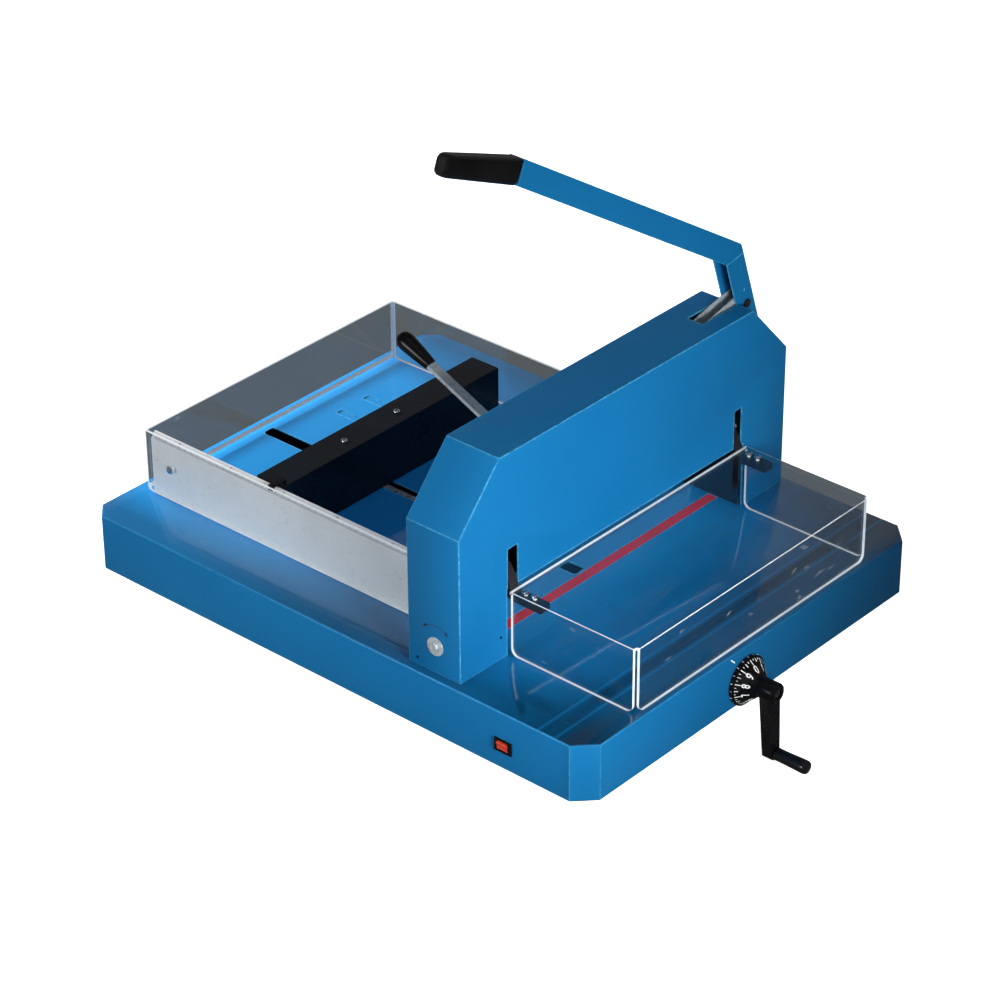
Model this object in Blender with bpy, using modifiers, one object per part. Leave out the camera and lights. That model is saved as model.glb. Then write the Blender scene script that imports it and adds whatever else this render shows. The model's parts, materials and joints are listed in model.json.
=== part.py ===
# Stack paper cutter (guillotine): sheet-metal base with table, bridge-shaped head,
# swinging knife lever, clamp lever, crank-driven back gauge, clear guards.
# Sizes are millimetres; M turns them into the scene's metres.
# X right, Y to the rear, Z up. The underside of the bottom plate is Z = 0.
import bpy
import bmesh
import math
from mathutils import Matrix, Vector

M = 0.001

# ---------------------------------------------------------------- shared sizes
# Names ending in _X, _Y or _Z that hold a pair are (low, high) ranges.
BASE_HALF_X, BASE_HALF_Y = 350.0, 450.0
TABLE_Z = 89.0
SHEET = 2.0                          # sheet-metal thickness
GAP = 0.3                            # clearance between neighbouring pieces
STAND_Z = TABLE_Z + GAP              # underside of what stands on the table
PLATE_T = 2.0

STICK_HALF_X, STICK_Y = 245.8, (-188, -172)

LEVER_PIVOT = (293.0, 338.0)         # (x, z)
LINK_PIN = (282.0, 385.0)            # (x, z), where the drive link meets the lever
LINK_FAR = (105.0, 350.0)            # (x, z), the link's end at the knife carrier
LEVER_Y = (-199.8, -175.3)
LEVER_ORIGIN_Y = -187.5
LEVER_THROUGH_Y = (-210, -150)       # bores right through the lever or the link
LINK_BORE_R = 5.3

CLAMP_SHAFT = (-152.0, 247.0)        # (y, z)
CLAMP_LEVER_X = -70.0
SHAFT_BEARING_R = 6.35               # bearing bore for the lead screw and clamp shaft

LID_HINGE = (-213.0, 213.0)          # (y, z)
RAIL_FRONT_Y = -137                  # front end of the side rail and rear guard
GUARD_KNOB_AT = (378, 142)           # (y, z)
GUARD_BORE_R = 3.6

SCREW_AT = (-26.0, 37.0)             # (x, z) of the lead screw and crank axis
CRANK_X, CRANK_Z = SCREW_AT
CRANK_HANDLE = (-18.0, -63.5)        # (x, z)

# ---------------------------------------------------------------- scene set-up
for old in list(bpy.data.objects):
    bpy.data.objects.remove(old, do_unlink=True)

PARTS = bpy.data.collections.new("paper_cutter")
CUTTERS = bpy.data.collections.new("cutters")
bpy.context.scene.collection.children.link(PARTS)
bpy.context.scene.collection.children.link(CUTTERS)

MATS = {}


def material(name, color, metallic=0.0, roughness=0.5, alpha=1.0):
    mat = bpy.data.materials.new(name)
    mat.use_nodes = True
    inputs = mat.node_tree.nodes["Principled BSDF"].inputs
    inputs["Base Color"].default_value = (*color, 1.0)
    inputs["Metallic"].default_value = metallic
    inputs["Roughness"].default_value = roughness
    inputs["Alpha"].default_value = alpha
    MATS[name] = mat


material("blue_paint", color=(0.02, 0.15, 0.36), roughness=0.4)
material("black_paint", color=(0.02, 0.02, 0.022), roughness=0.45)
material("grey_steel", color=(0.35, 0.36, 0.37), metallic=1.0, roughness=0.4)
material("zinc_steel", color=(0.6, 0.62, 0.64), metallic=1.0, roughness=0.3)
material("polished_steel", color=(0.7, 0.71, 0.73), metallic=1.0, roughness=0.12)
material("chrome", color=(0.8, 0.8, 0.82), metallic=1.0, roughness=0.08)
material("black_plastic", color=(0.015, 0.015, 0.016), roughness=0.35)
material("red_plastic", color=(0.7, 0.03, 0.03), roughness=0.4)
material("white_paint", color=(0.75, 0.76, 0.77), roughness=0.4)
material("scale_strip", color=(0.8, 0.8, 0.8), roughness=0.4)
material("clear_acrylic", color=(0.85, 0.9, 0.92), roughness=0.05, alpha=0.35)
material("rubber", color=(0.02, 0.02, 0.02), roughness=0.8)
material("brass", color=(0.6, 0.45, 0.15), metallic=1.0, roughness=0.3)


# ---------------------------------------------------------------- ranges and outlines
def around(centre, half):
    return centre - half, centre + half


def inset(span, margin):
    return span[0] + margin, span[1] - margin


def rectangle(u_span, v_span):
    (u0, u1), (v0, v1) = u_span, v_span
    return [(u0, v0), (u1, v0), (u1, v1), (u0, v1)]


def octagon(half_x, half_y, front, rear):
    """Rectangle with its front and rear corners cut off at 45 degrees."""
    return [(-half_x + front, -half_y), (half_x - front, -half_y),
            (half_x, -half_y + front), (half_x, half_y - rear),
            (half_x - rear, half_y), (-half_x + rear, half_y),
            (-half_x, half_y - rear), (-half_x, -half_y + front)]


def left_of(direction):
    """2D direction turned a quarter turn anticlockwise."""
    return Vector((-direction.y, direction.x))


def rounded(points, radii, steps=5):
    """Outline with each corner replaced by an arc; radii is one value or one per corner."""
    if not isinstance(radii, (list, tuple)):
        radii = [radii] * len(points)
    out = []
    for i, radius in enumerate(radii):
        corner = Vector(points[i])
        if radius <= 0:
            out.append(corner)
            continue
        to_last = (Vector(points[i - 1]) - corner).normalized()
        to_next = (Vector(points[(i + 1) % len(points)]) - corner).normalized()
        half = to_last.angle(to_next) / 2.0
        reach = radius / math.tan(half)
        centre = corner + (to_last + to_next).normalized() * (radius / math.sin(half))
        start = corner + to_last * reach - centre
        end = corner + to_next * reach - centre
        sweep = start.angle(end)
        sign = 1.0 if start.x * end.y - start.y * end.x > 0 else -1.0
        for k in range(steps + 1):
            turn = sign * sweep * k / steps
            cos, sin = math.cos(turn), math.sin(turn)
            out.append((centre.x + start.x * cos - start.y * sin,
                        centre.y + start.x * sin + start.y * cos))
    return out


# ---------------------------------------------------------------- solids
# A solid given no material is a hidden tool for the booleans.
def new_object(name, mesh, mat):
    obj = bpy.data.objects.new(name, mesh)
    if mat:
        PARTS.objects.link(obj)
        mesh.materials.append(MATS[mat])
    else:
        CUTTERS.objects.link(obj)
        obj.hide_render = True
        obj.display_type = "WIRE"
    return obj


def to_mesh(bm, name):
    mesh = bpy.data.meshes.new(name)
    bm.to_mesh(mesh)
    bm.free()
    return mesh


def evaluated_mesh(obj):
    bpy.context.view_layer.update()
    depsgraph = bpy.context.evaluated_depsgraph_get()
    return bpy.data.meshes.new_from_object(obj.evaluated_get(depsgraph))


def clean(mesh):
    bm = bmesh.new()
    bm.from_mesh(mesh)
    bmesh.ops.remove_doubles(bm, verts=bm.verts, dist=1e-6)
    bmesh.ops.recalc_face_normals(bm, faces=bm.faces)
    bm.to_mesh(mesh)
    bm.free()


def smooth(obj):
    for poly in obj.data.polygons:
        poly.use_smooth = True
    obj.data.set_sharp_from_angle(angle=math.radians(35))


def at(x, y, z):
    return Matrix.Translation(Vector((x, y, z)) * M)


# Rotation taking a round piece's own +Z to the named direction.
FACING = {
    "X": Matrix.Rotation(math.pi / 2, 4, "Y"),
    "-X": Matrix.Rotation(-math.pi / 2, 4, "Y"),
    "Y": Matrix.Rotation(-math.pi / 2, 4, "X"),
    "-Y": Matrix.Rotation(math.pi / 2, 4, "X"),
    "Z": Matrix.Identity(4),
}
# Matrix taking a flat outline (u, v) to (y, z), (x, z) or (x, y).
OUTLINE_PLANE = {
    "X": Matrix(((0, 0, 1, 0), (1, 0, 0, 0), (0, 1, 0, 0), (0, 0, 0, 1))),
    "Y": Matrix(((1, 0, 0, 0), (0, 0, -1, 0), (0, 1, 0, 0), (0, 0, 0, 1))),
    "Z": Matrix.Identity(4),
}


def add_bevel(obj, width, steps, angle):
    mod = obj.modifiers.new("edge radius", "BEVEL")
    mod.width = width * M
    mod.segments = steps
    mod.limit_method = "ANGLE"
    mod.angle_limit = math.radians(angle)


def box(name, x, y, z, mat=None, bevel=0.0):
    bm = bmesh.new()
    bmesh.ops.create_cube(bm, size=1.0)
    size = Vector([high - low for low, high in (x, y, z)]) * M
    centre = at(*[(low + high) / 2 for low, high in (x, y, z)])
    bmesh.ops.transform(bm, matrix=centre @ Matrix.Diagonal(size.to_4d()), verts=bm.verts)
    obj = new_object(name, to_mesh(bm, name), mat)
    if bevel:
        add_bevel(obj, bevel, steps=1, angle=40.0)
    return obj


def prism(name, outline, axis, span, mat=None):
    """Outline filled and extruded over a span of the axis.
    axis 'Z': outline is (x, y); axis 'Y': outline is (x, z); axis 'X': outline is (y, z)."""
    curve = bpy.data.curves.new(name + " outline", "CURVE")
    curve.dimensions = "2D"
    curve.fill_mode = "BOTH"
    spline = curve.splines.new("POLY")
    spline.points.add(len(outline) - 1)
    for point, (u, v) in zip(spline.points, outline):
        point.co = (u * M, v * M, 0.0, 1.0)
    spline.use_cyclic_u = True
    curve.extrude = (span[1] - span[0]) / 2 * M
    flat = bpy.data.objects.new(name + " outline", curve)
    bpy.context.scene.collection.objects.link(flat)
    mesh = evaluated_mesh(flat)
    bpy.data.objects.remove(flat, do_unlink=True)
    shift = Vector((0, 0, 0))
    shift["XYZ".index(axis)] = (span[0] + span[1]) / 2 * M
    mesh.transform(Matrix.Translation(shift) @ OUTLINE_PLANE[axis])
    clean(mesh)
    return new_object(name, mesh, mat)


def cyl(name, axis, centre, radius, span, mat=None, steps=28):
    """Cylinder over a span of the axis; centre is its place in the plane across it."""
    bm = bmesh.new()
    bmesh.ops.create_cone(bm, cap_ends=True, cap_tris=False, segments=steps, radius1=radius * M,
                          radius2=radius * M, depth=(span[1] - span[0]) * M)
    mesh = to_mesh(bm, name)
    middle = list(centre)
    middle.insert("XYZ".index(axis), (span[0] + span[1]) / 2)
    mesh.transform(at(*middle) @ FACING[axis])
    obj = new_object(name, mesh, mat)
    smooth(obj)
    return obj


def lathe(name, profile, matrix, mat, steps=32):
    """Turned piece. profile is (radius, height) from the top down the outside to the bottom."""
    bm = bmesh.new()
    verts = [bm.verts.new((radius * M, 0, height * M)) for radius, height in profile]
    for pair in zip(verts, verts[1:]):
        bm.edges.new(pair)
    half_section = to_mesh(bm, name)
    obj = new_object(name, half_section, mat)
    mod = obj.modifiers.new("turn", "SCREW")
    mod.angle = 2 * math.pi
    mod.steps = steps
    mod.use_merge_vertices = True
    mod.merge_threshold = 1e-5
    turned = evaluated_mesh(obj)
    obj.modifiers.remove(mod)
    obj.data = turned
    bpy.data.meshes.remove(half_section)
    turned.transform(matrix)
    clean(turned)
    turned.materials.clear()
    turned.materials.append(MATS[mat])
    smooth(obj)
    return obj


def loft(name, sections, start, direction, up, mid_y, mat):
    """Closed bar through rounded rectangles.
    sections: (distance, half width in Y, half height, corner radius)."""
    bm = bmesh.new()
    rings = []
    for distance, half_width, half_height, radius in sections:
        ring = []
        for k in range(4):
            corner_u = (half_width - radius) * (1 if k in (0, 3) else -1)
            corner_v = (half_height - radius) * (1 if k in (0, 1) else -1)
            for j in range(5):
                angle = math.radians(90 * k + 22.5 * j)
                u = corner_u + radius * math.cos(angle)
                v = corner_v + radius * math.sin(angle)
                point = start + direction * distance + up * v
                ring.append(bm.verts.new(Vector((point.x, mid_y + u, point.y)) * M))
        rings.append(ring)
    count = len(rings[0])
    for near, far in zip(rings, rings[1:]):
        for k in range(count):
            after = (k + 1) % count
            bm.faces.new((near[k], near[after], far[after], far[k]))
    bm.faces.new(rings[0][::-1])
    bm.faces.new(rings[-1])
    bmesh.ops.recalc_face_normals(bm, faces=bm.faces)
    return new_object(name, to_mesh(bm, name), mat)


def combine(operation, obj, tools):
    for tool in tools:
        mod = obj.modifiers.new(operation.lower() + " " + tool.name, "BOOLEAN")
        mod.operation = operation
        mod.solver = "EXACT"
        mod.object = tool


def cut(obj, *tools):
    combine("DIFFERENCE", obj, tools)


def join(obj, *tools):
    combine("UNION", obj, tools)


def set_origin(obj, x, y, z):
    """Put the object's origin on its joint axis without moving its shape."""
    shift = Vector((x, y, z)) * M
    obj.data.transform(Matrix.Translation(-shift))
    obj.location = shift


# ---------------------------------------------------------------- base
def base_housing():
    front, rear = 27.8, 22.5                     # corner cuts
    bottom = PLATE_T + GAP
    through_table = (80, 95)
    groove_y, groove_z = (-110, 380), (TABLE_Z - 1.0, 95)
    base = prism("base_housing", octagon(BASE_HALF_X, BASE_HALF_Y, front, rear),
                 "Z", (bottom, TABLE_Z), "blue_paint")
    add_bevel(base, 2.6, steps=3, angle=60.0)
    # this change of corner cut keeps the wall one sheet thick across the corners
    corner_change = SHEET * (2 - math.sqrt(2))
    inner = octagon(BASE_HALF_X - SHEET, BASE_HALF_Y - SHEET,
                    front - corner_change, rear - corner_change)
    cut(base,
        prism("base_hollow", inner, "Z", (bottom + SHEET, TABLE_Z - SHEET)),
        box("base_opening", x=(-230, 230), y=(-400, 400), z=(-5, 12)),
        prism("gauge_slot", rounded(rectangle((-39, -18), (-168, 420)), [2, 2, 5, 5], 4),
              "Z", through_table),
        box("stick_slot", x=around(0, STICK_HALF_X + 0.6), y=inset(STICK_Y, -0.4),
            z=through_table),
        box("groove_left", x=(72, 84), y=groove_y, z=groove_z),
        box("groove_right", x=(128, 140), y=groove_y, z=groove_z),
        cyl("crank_hole", "Y", SCREW_AT, 8.5, around(-BASE_HALF_Y, 10)),
        box("switch_hole", x=around(-BASE_HALF_X, 10), y=(-325, -300), z=(30, 48)))


def bottom_plate():
    prism("bottom_plate", rounded(rectangle((-255, 255), (-425, 425)), 12, 4),
          "Z", (0.0, PLATE_T), "grey_steel")


def feet():
    profile = [(0, 2), (19, 2), (22, -1), (22, -9), (20, -12), (0, -12)]
    for end, y in (("front", -390), ("rear", 390)):
        for side, x in (("left", -300), ("right", 300)):
            lathe(f"foot_{end}_{side}", profile, at(x, y, 0), "rubber", steps=28)


def index_mark():
    """Short slanting mark on the front of the base."""
    outline = [(-59.6, 82.6), (-52.0, 75.0), (-50.7, 76.2), (-58.3, 83.8)]
    prism("index_mark", outline, "Y", (-451.4, -450.3), "white_paint")


def power_switch():
    """Rocker switch in the left wall of the base."""
    bezel = box("switch_bezel", x=(-352.8, -350.3), y=(-327, -298), z=(29, 49),
                mat="black_plastic", bevel=0.6)
    join(bezel, box("bezel_body", x=(-351.5, -332), y=(-324.6, -300.4), z=(30.4, 47.6)))
    cut(bezel, box("bezel_pocket", x=(-365, -340), y=(-321.5, -303.5), z=(31.6, 46.4)))
    outline = [(-356.0, 44.5), (-349.0, 44.5), (-346.5, 39.0),
               (-349.0, 33.4), (-353.2, 33.2), (-353.4, 39.0)]
    radii = [0.8, 0.4, 2.0, 0.4, 0.8, 3.0]
    rocker = prism("switch_rocker", rounded(outline, radii, 3), "Y", (-321.0, -304.0),
                   "red_plastic")
    set_origin(rocker, -349.0, -312.5, 39.0)


def cutting_stick():
    box("cutting_stick", x=around(0, STICK_HALF_X), y=STICK_Y, z=(80, TABLE_Z + 0.1),
        mat="red_plastic", bevel=0.4)


# ---------------------------------------------------------------- head and its frame
def head_cover():
    left, right = -338.0, 339.0
    shoulder, top = 304.6, 391.5
    top_left, top_right = around(0, 260.0)
    span = (-229.0, -139.0)
    outer = [(left, STAND_Z), (right, STAND_Z), (right, shoulder),
             (top_right, top), (top_left, top), (left, shoulder)]
    # hollow one sheet inside, open at the bottom
    inner_left, inner_right = inset((left, right), SHEET)
    inner_shoulder, open_z = shoulder - 0.85, 60
    inner = [(inner_left, open_z), (inner_right, open_z), (inner_right, inner_shoulder),
             (top_right - 0.9, top - SHEET), (top_left + 0.9, top - SHEET),
             (inner_left, inner_shoulder)]
    lever_slot = [(184.5, 420), (184.5, 340), (245, 342), (310, 308),
                  (338, 304), (378, 330), (295, 424)]
    front_wall, slot_z = (-240, -222), (180, 250)
    head = prism("head_cover", outer, "Y", span, "blue_paint")
    add_bevel(head, 2.0, steps=2, angle=60.0)
    cut(head,
        prism("head_hollow", inner, "Y", inset(span, SHEET)),
        box("throat", x=around(0, 246.5), y=(-240, -130), z=(open_z, 191.0)),
        box("guard_slot_left", x=(-245, -225), y=front_wall, z=slot_z),
        box("guard_slot_right", x=(225, 241), y=front_wall, z=slot_z),
        prism("lever_slot", lever_slot, "Y", (-200.6, -174.4)),
        box("clamp_lever_slot", x=around(CLAMP_LEVER_X, 12), y=(-146, -130), z=(236, 356)))


def side_frames():
    depth = (-222, -146)
    left = box("side_frame_left", x=(-257, -247), y=depth, z=(STAND_Z, 330), mat="black_paint")
    cut(left, box("knife_window", x=(-270, -240), y=(-207.5, -179), z=(93, 318)))
    box("side_frame_right", x=(247, 257), y=depth, z=(STAND_Z, 255), mat="black_paint")


def beams():
    outline = [(-215, 196), (215, 196), (215, 257), (245, 257), (245, 300),
               (-245, 300), (-245, 257), (-215, 257)]
    prism("guide_beam", outline, "Y", (-221, -208), "grey_steel")
    rear = box("rear_beam", x=(-245, 178), y=(-157, -147), z=(300, 340), mat="grey_steel")
    cut(rear, box("rear_beam_notch_a", x=(-198, -182), y=(-160, -156.5), z=(290, 350)))


def lever_pedestal():
    """Fork that holds the lever between two pivot studs."""
    outline = [(267, STAND_Z), (323, STAND_Z), (323, 315.0), (287, 354.5), (267, 354.5)]
    stud_r = 6.5
    pedestal = prism("lever_pedestal", outline, "Y", (-214, -148), "grey_steel")
    cut(pedestal, box("pedestal_space", x=(255, 331), y=(-204, -158),
                      z=(98, LEVER_PIVOT[1] + 40)))
    join(pedestal,
         cyl("pivot_stud_front", "Y", LEVER_PIVOT, stud_r, (-206, -197.8), steps=32),
         cyl("pivot_stud_rear", "Y", LEVER_PIVOT, stud_r, (-177.3, -156), steps=32))


def light_bar():
    box("light_bar", x=(-205, 205), y=(-226.5, -221.6), z=(194, 204), mat="white_paint")


def bearings():
    for end, y, bore_y in (("front", (-447.5, -430), (-460, -420)),
                           ("rear", (425, 440), (415, 450))):
        bearing = box("lead_screw_bearing_" + end, x=around(CRANK_X, 20), y=y,
                      z=around(CRANK_Z, 20), mat="grey_steel")
        cut(bearing, cyl("bearing_bore_" + end, "Y", SCREW_AT, SHAFT_BEARING_R, bore_y))
    for side, x in (("left", -228.0), ("right", 228.0)):
        name = "clamp_bearing_" + side
        bearing = box(name, x=around(x, 5), y=(-163, -141.3), z=around(CLAMP_SHAFT[1], 15),
                      mat="grey_steel")
        cut(bearing, cyl(name + " bore", "X", CLAMP_SHAFT, SHAFT_BEARING_R, around(x, 12)))


def guard_hinge_pins():
    for side, x in (("left", (-246.7, -226.5)), ("right", (226.5, 246.7))):
        cyl("guard_hinge_pin_" + side, "X", LID_HINGE, 3.0, x, "zinc_steel", steps=20)


def depth_adjuster():
    """Disc and socket bolt on the head's left face."""
    centre = (-187, 131)
    disc = cyl("depth_disc", "X", centre, 13.4, (-339.8, -338.3), "zinc_steel", steps=36)
    cut(disc, cyl("disc_bore", "X", centre, 4.4, (-345, -330)))
    bolt = cyl("depth_bolt", "X", centre, 5.8, (-343.4, -340.1), "zinc_steel")
    join(bolt, cyl("bolt_shank", "X", centre, 4.0, (-342, -338.6), steps=24))
    cut(bolt, cyl("bolt_socket", "X", centre, 3.2, (-350, -341.4), steps=6))
    for obj in (disc, bolt):
        set_origin(obj, -339, *centre)


# ---------------------------------------------------------------- side rail, scale, rear guard
def side_rail():
    """Left rail with a sloping top edge, and the ruler strip lying on the slope."""
    left, right = -255.4, -246.0
    rear = 420
    low, high = Vector((left, 174.0)), Vector((right - 2.0, 183.6))
    rail = prism("side_rail_left",
                 [(left, STAND_Z), (right, STAND_Z), (right, 183.6), (right - 2.0, 183.6),
                  (left, 174.0)], "Y", (RAIL_FRONT_Y, rear), "white_paint")
    cut(rail, cyl("rail_bore", "X", GUARD_KNOB_AT, GUARD_BORE_R, (-262, -240)))
    slope = (high - low).normalized()
    up = left_of(slope)
    start = low + slope * 1.6 + up * GAP
    end = low + slope * 11.2 + up * GAP
    strip_t = 0.5
    prism("ruler_strip", [start, end, end + up * strip_t, start + up * strip_t],
          "Y", (RAIL_FRONT_Y + 1, rear - 2), "scale_strip")


def rear_guard():
    """U-shaped clear wall with rounded lower rear corners, and its knob on the left."""
    left, right, rear, wall = -260.0, 250.0, 430.0, 4.0
    bottom, top = 91.0, 186.0
    front = RAIL_FRONT_Y
    outline = [(left, front), (left + wall, front), (left + wall, rear - wall),
               (right - wall, rear - wall), (right - wall, front), (right, front),
               (right, rear), (left, rear)]
    side = [(-150, bottom - 3), (rear + 0.5, bottom), (rear + 0.5, top + 5), (-150, top + 5)]
    guard = prism("rear_guard", outline, "Z", (bottom, top), "clear_acrylic")
    combine("INTERSECT", guard, [prism("guard_side_shape", rounded(side, [0, 12, 0, 0], 6),
                                       "X", (-300, 300))])
    cut(guard, cyl("guard_bore", "X", GUARD_KNOB_AT, GUARD_BORE_R, (-262, -250)))
    knob = [(0, 4.6), (4.6, 4.6), (6.0, 3.4), (6.0, 0.3), (3.2, 0.3), (3.2, -13.0), (0, -13.0)]
    lathe("guard_knob", knob, at(left, *GUARD_KNOB_AT) @ FACING["-X"], "chrome", steps=28)


# ---------------------------------------------------------------- cutting lever
# 2D vectors here are (x, z). The arm runs down to the right, the leg down from the elbow.
ARM_DIR = Vector((437.0, -281.6)).normalized()
LEG_DIR = Vector((40.0, -119.0)).normalized()
ELBOW = Vector((266.8, 480.1))
ARM_WIDTH, LEG_WIDTH = 34.3, 36.0
ARM_EDGE = (ELBOW - ARM_DIR * 570.0, ELBOW)
LEG_EDGE = (ELBOW, ELBOW + LEG_DIR * 160.0)

GRIP_START, GRIP_END = Vector((-183.7, 749.6)), Vector((-313.7, 803.8))
GRIP_DIR = (GRIP_END - GRIP_START).normalized()
GRIP_UP = -left_of(GRIP_DIR)


def shifted(line, distance):
    """Line moved to the right of its direction."""
    move = -left_of(line[1] - line[0]).normalized() * distance
    return line[0] + move, line[1] + move


def meet(first, second):
    """Crossing point of two lines."""
    start, along = first[0], first[1] - first[0]
    other = second[1] - second[0]
    gap = second[0] - start
    ratio = (gap.x * other.y - gap.y * other.x) / (along.x * other.y - along.y * other.x)
    return start + along * ratio


def lever_outline(web_inset, drop):
    """L-shaped side view of the lever: the web side moved in, the open side moved out.
    Gives arm start, outer elbow, leg end, leg end, inner elbow, arm start."""
    arm_web, leg_web = shifted(ARM_EDGE, web_inset), shifted(LEG_EDGE, web_inset)
    arm_open = shifted(ARM_EDGE, ARM_WIDTH + drop)
    leg_open = shifted(LEG_EDGE, LEG_WIDTH + drop)
    return (arm_web[0], meet(arm_web, leg_web), leg_web[1],
            leg_open[1], meet(arm_open, leg_open), arm_open[0])


def grip_strip(start, end, half_height):
    """Rectangle along the grip, between two distances from its lower end."""
    near, far = GRIP_START + GRIP_DIR * start, GRIP_START + GRIP_DIR * end
    rise = GRIP_UP * half_height
    return [near + rise, far + rise, far - rise, near - rise]


def lever_arm():
    arm_web, elbow_out, _, _, elbow_in, arm_open = lever_outline(0.0, 0.0)
    # the leg stops 15 past the level of the pivot
    to_pivot = (Vector(LEVER_PIVOT) - elbow_out).dot(LEG_DIR)
    beside_pivot = elbow_out + LEG_DIR * to_pivot
    foot_web = beside_pivot + LEG_DIR * 15.0
    foot_open = beside_pivot - left_of(LEG_DIR) * LEG_WIDTH + LEG_DIR * 15.0
    outline = rounded([arm_web, elbow_out, foot_web, foot_open, elbow_in, arm_open],
                      [0, 14, 14, 14, 2, 0], 6)
    arm = prism("lever_arm", outline, "Y", LEVER_Y, "blue_paint")

    # channel open along the lower left side
    arm_web, elbow_out, leg_web, leg_open, elbow_in, arm_open = lever_outline(2.6, 8.0)
    channel = [arm_web - ARM_DIR * 30, elbow_out, leg_web + LEG_DIR * 40,
               leg_open + LEG_DIR * 40, elbow_in, arm_open - ARM_DIR * 30]
    grip_length = (GRIP_END - GRIP_START).length
    cut(arm,
        prism("lever_channel", channel, "Y", inset(LEVER_Y, 1.6)),
        cyl("lever_bore", "Y", LEVER_PIVOT, 6.56, LEVER_THROUGH_Y, steps=32),
        cyl("link_bore", "Y", LINK_PIN, LINK_BORE_R, LEVER_THROUGH_Y),
        cyl("arm_small_hole", "Y", (276, 407), 1.6, (-203, -190), steps=16),
        prism("arm_trim", grip_strip(-1.0, grip_length + 60, 60), "Y", (-220, -140)))
    # tang carried into the hand grip
    join(arm, prism("lever_tang", grip_strip(-40, 90, 9), "Y", (-191.5, -184.0)))
    return arm


def lever_grip():
    # (distance, half width in Y, half height, corner radius)
    sections = [(0.0, 9.4, 16.6, 5.0), (2.0, 11.0, 18.2, 6.5), (70.0, 11.0, 16.6, 6.5),
                (132.0, 11.0, 15.0, 6.5), (138.0, 10.4, 14.4, 6.5), (141.5, 9.0, 13.0, 6.5),
                (143.6, 7.0, 11.0, 6.0)]
    grip = loft("lever_grip", sections, GRIP_START, GRIP_DIR, GRIP_UP,
                (LEVER_Y[0] + LEVER_Y[1]) / 2, "black_plastic")
    cut(grip, prism("grip_socket", grip_strip(-60, 92, 9.5), "Y", (-192.0, -183.5)))
    return grip


def link_pin():
    pin = cyl("link_pin", "Y", LINK_PIN, 5.0, (-201.0, -174.6), "zinc_steel")
    join(pin, cyl("pin_head", "Y", LINK_PIN, 6.2, (-202.4, -200.2)))
    return pin


def cutting_lever():
    for obj in (lever_arm(), lever_grip(), link_pin()):
        set_origin(obj, LEVER_PIVOT[0], LEVER_ORIGIN_Y, LEVER_PIVOT[1])


def drive_link():
    """Channel, open at the top, from the lever's pin to the knife carrier."""
    pin, far = Vector(LINK_PIN), Vector(LINK_FAR)
    length = (far - pin).length
    direction = (far - pin).normalized()
    up = -left_of(direction)

    def placed(points):
        """Points given as (distance from the pin, height over the pin line)."""
        return [pin + direction * distance + up * height for distance, height in points]

    outer = placed([(-6, 20), (length + 12, 16), (length + 12, -10), (-6.5, -9.5)])
    inner = placed([(-40, 30), (length + 40, 30), (length + 40, -7.5), (-40, -7.0)])
    link = prism("drive_link", rounded(outer, [5, 6, 6, 7], 4), "Y", (-197.4, -177.7),
                 "zinc_steel")
    cut(link, prism("link_channel", inner, "Y", (-195.6, -179.5)),
        cyl("link_pin_bore", "Y", LINK_PIN, LINK_BORE_R, LEVER_THROUGH_Y))
    set_origin(link, LINK_PIN[0], LEVER_ORIGIN_Y, LINK_PIN[1])


# ---------------------------------------------------------------- knife and carrier
# The knife slides down at an angle, so lowering it by KNIFE_DOWN moves it to the left.
KNIFE_DOWN = 84.0
KNIFE_ANGLE = math.radians(42.6)
KNIFE_X = around(-KNIFE_DOWN * math.tan(KNIFE_ANGLE), 241.0)


def knife_carrier():
    left, right = inset(KNIFE_X, 3)
    lug = LINK_FAR[0]
    outline = [(left, 206), (right, 206), (right, 270), (lug + 34, 290), (lug + 20, 362),
               (lug - 20, 362), (lug - 34, 290), (left, 290)]
    carrier = prism("knife_carrier", outline, "Y", (-206, -194), "grey_steel")
    join(carrier, box("carrier_pad", x=(left, right), y=(-195, -188.8), z=(206, 262)))
    cut(carrier, box("lug_relief", x=around(lug, 70), y=(-197.9, -180), z=(300, 380)))
    return carrier


def knife_blade():
    edge_z = 173.4
    profile = [(-188.5, 258), (-188.5, 190), (-181.0, edge_z), (-180.4, edge_z), (-180.4, 258)]
    return prism("knife_blade", profile, "X", KNIFE_X, "polished_steel")


def knife_assembly():
    carrier, knife = knife_carrier(), knife_blade()
    hole_r = 4.4
    for i, x in enumerate(inset(KNIFE_X, 90), start=1):
        centre = (x, 236)
        bolt = cyl(f"knife_bolt_{i}", "Y", centre, 7.0, (-180.0, -175.2), "zinc_steel", steps=24)
        join(bolt, cyl(f"knife_bolt_shank_{i}", "Y", centre, 4.0, (-198, -179), steps=20))
        cut(bolt, cyl(f"knife_bolt_socket_{i}", "Y", centre, 3.2, (-177.6, -170), steps=6))
        cut(knife, cyl(f"knife_hole_{i}", "Y", centre, hole_r, (-200, -170), steps=20))
        cut(carrier, cyl(f"carrier_hole_{i}", "Y", centre, hole_r, (-198.6, -170), steps=20))


# ---------------------------------------------------------------- clamp
def clamp_bar():
    bottom = 113.5
    clamp = box("clamp_bar", x=(-244, 244), y=(-166, -146), z=(bottom, bottom + 57),
                mat="polished_steel", bevel=0.8)
    for x in (-190, 190):
        join(clamp, box(f"clamp_post_{x}", x=around(x, 6), y=(-165.4, -159.4),
                        z=(bottom + 50, 322)))


def clamp_shaft():
    shaft = cyl("clamp_shaft", "X", CLAMP_SHAFT, 6.25, (-236, 236), "zinc_steel")
    set_origin(shaft, 0, *CLAMP_SHAFT)


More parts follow.
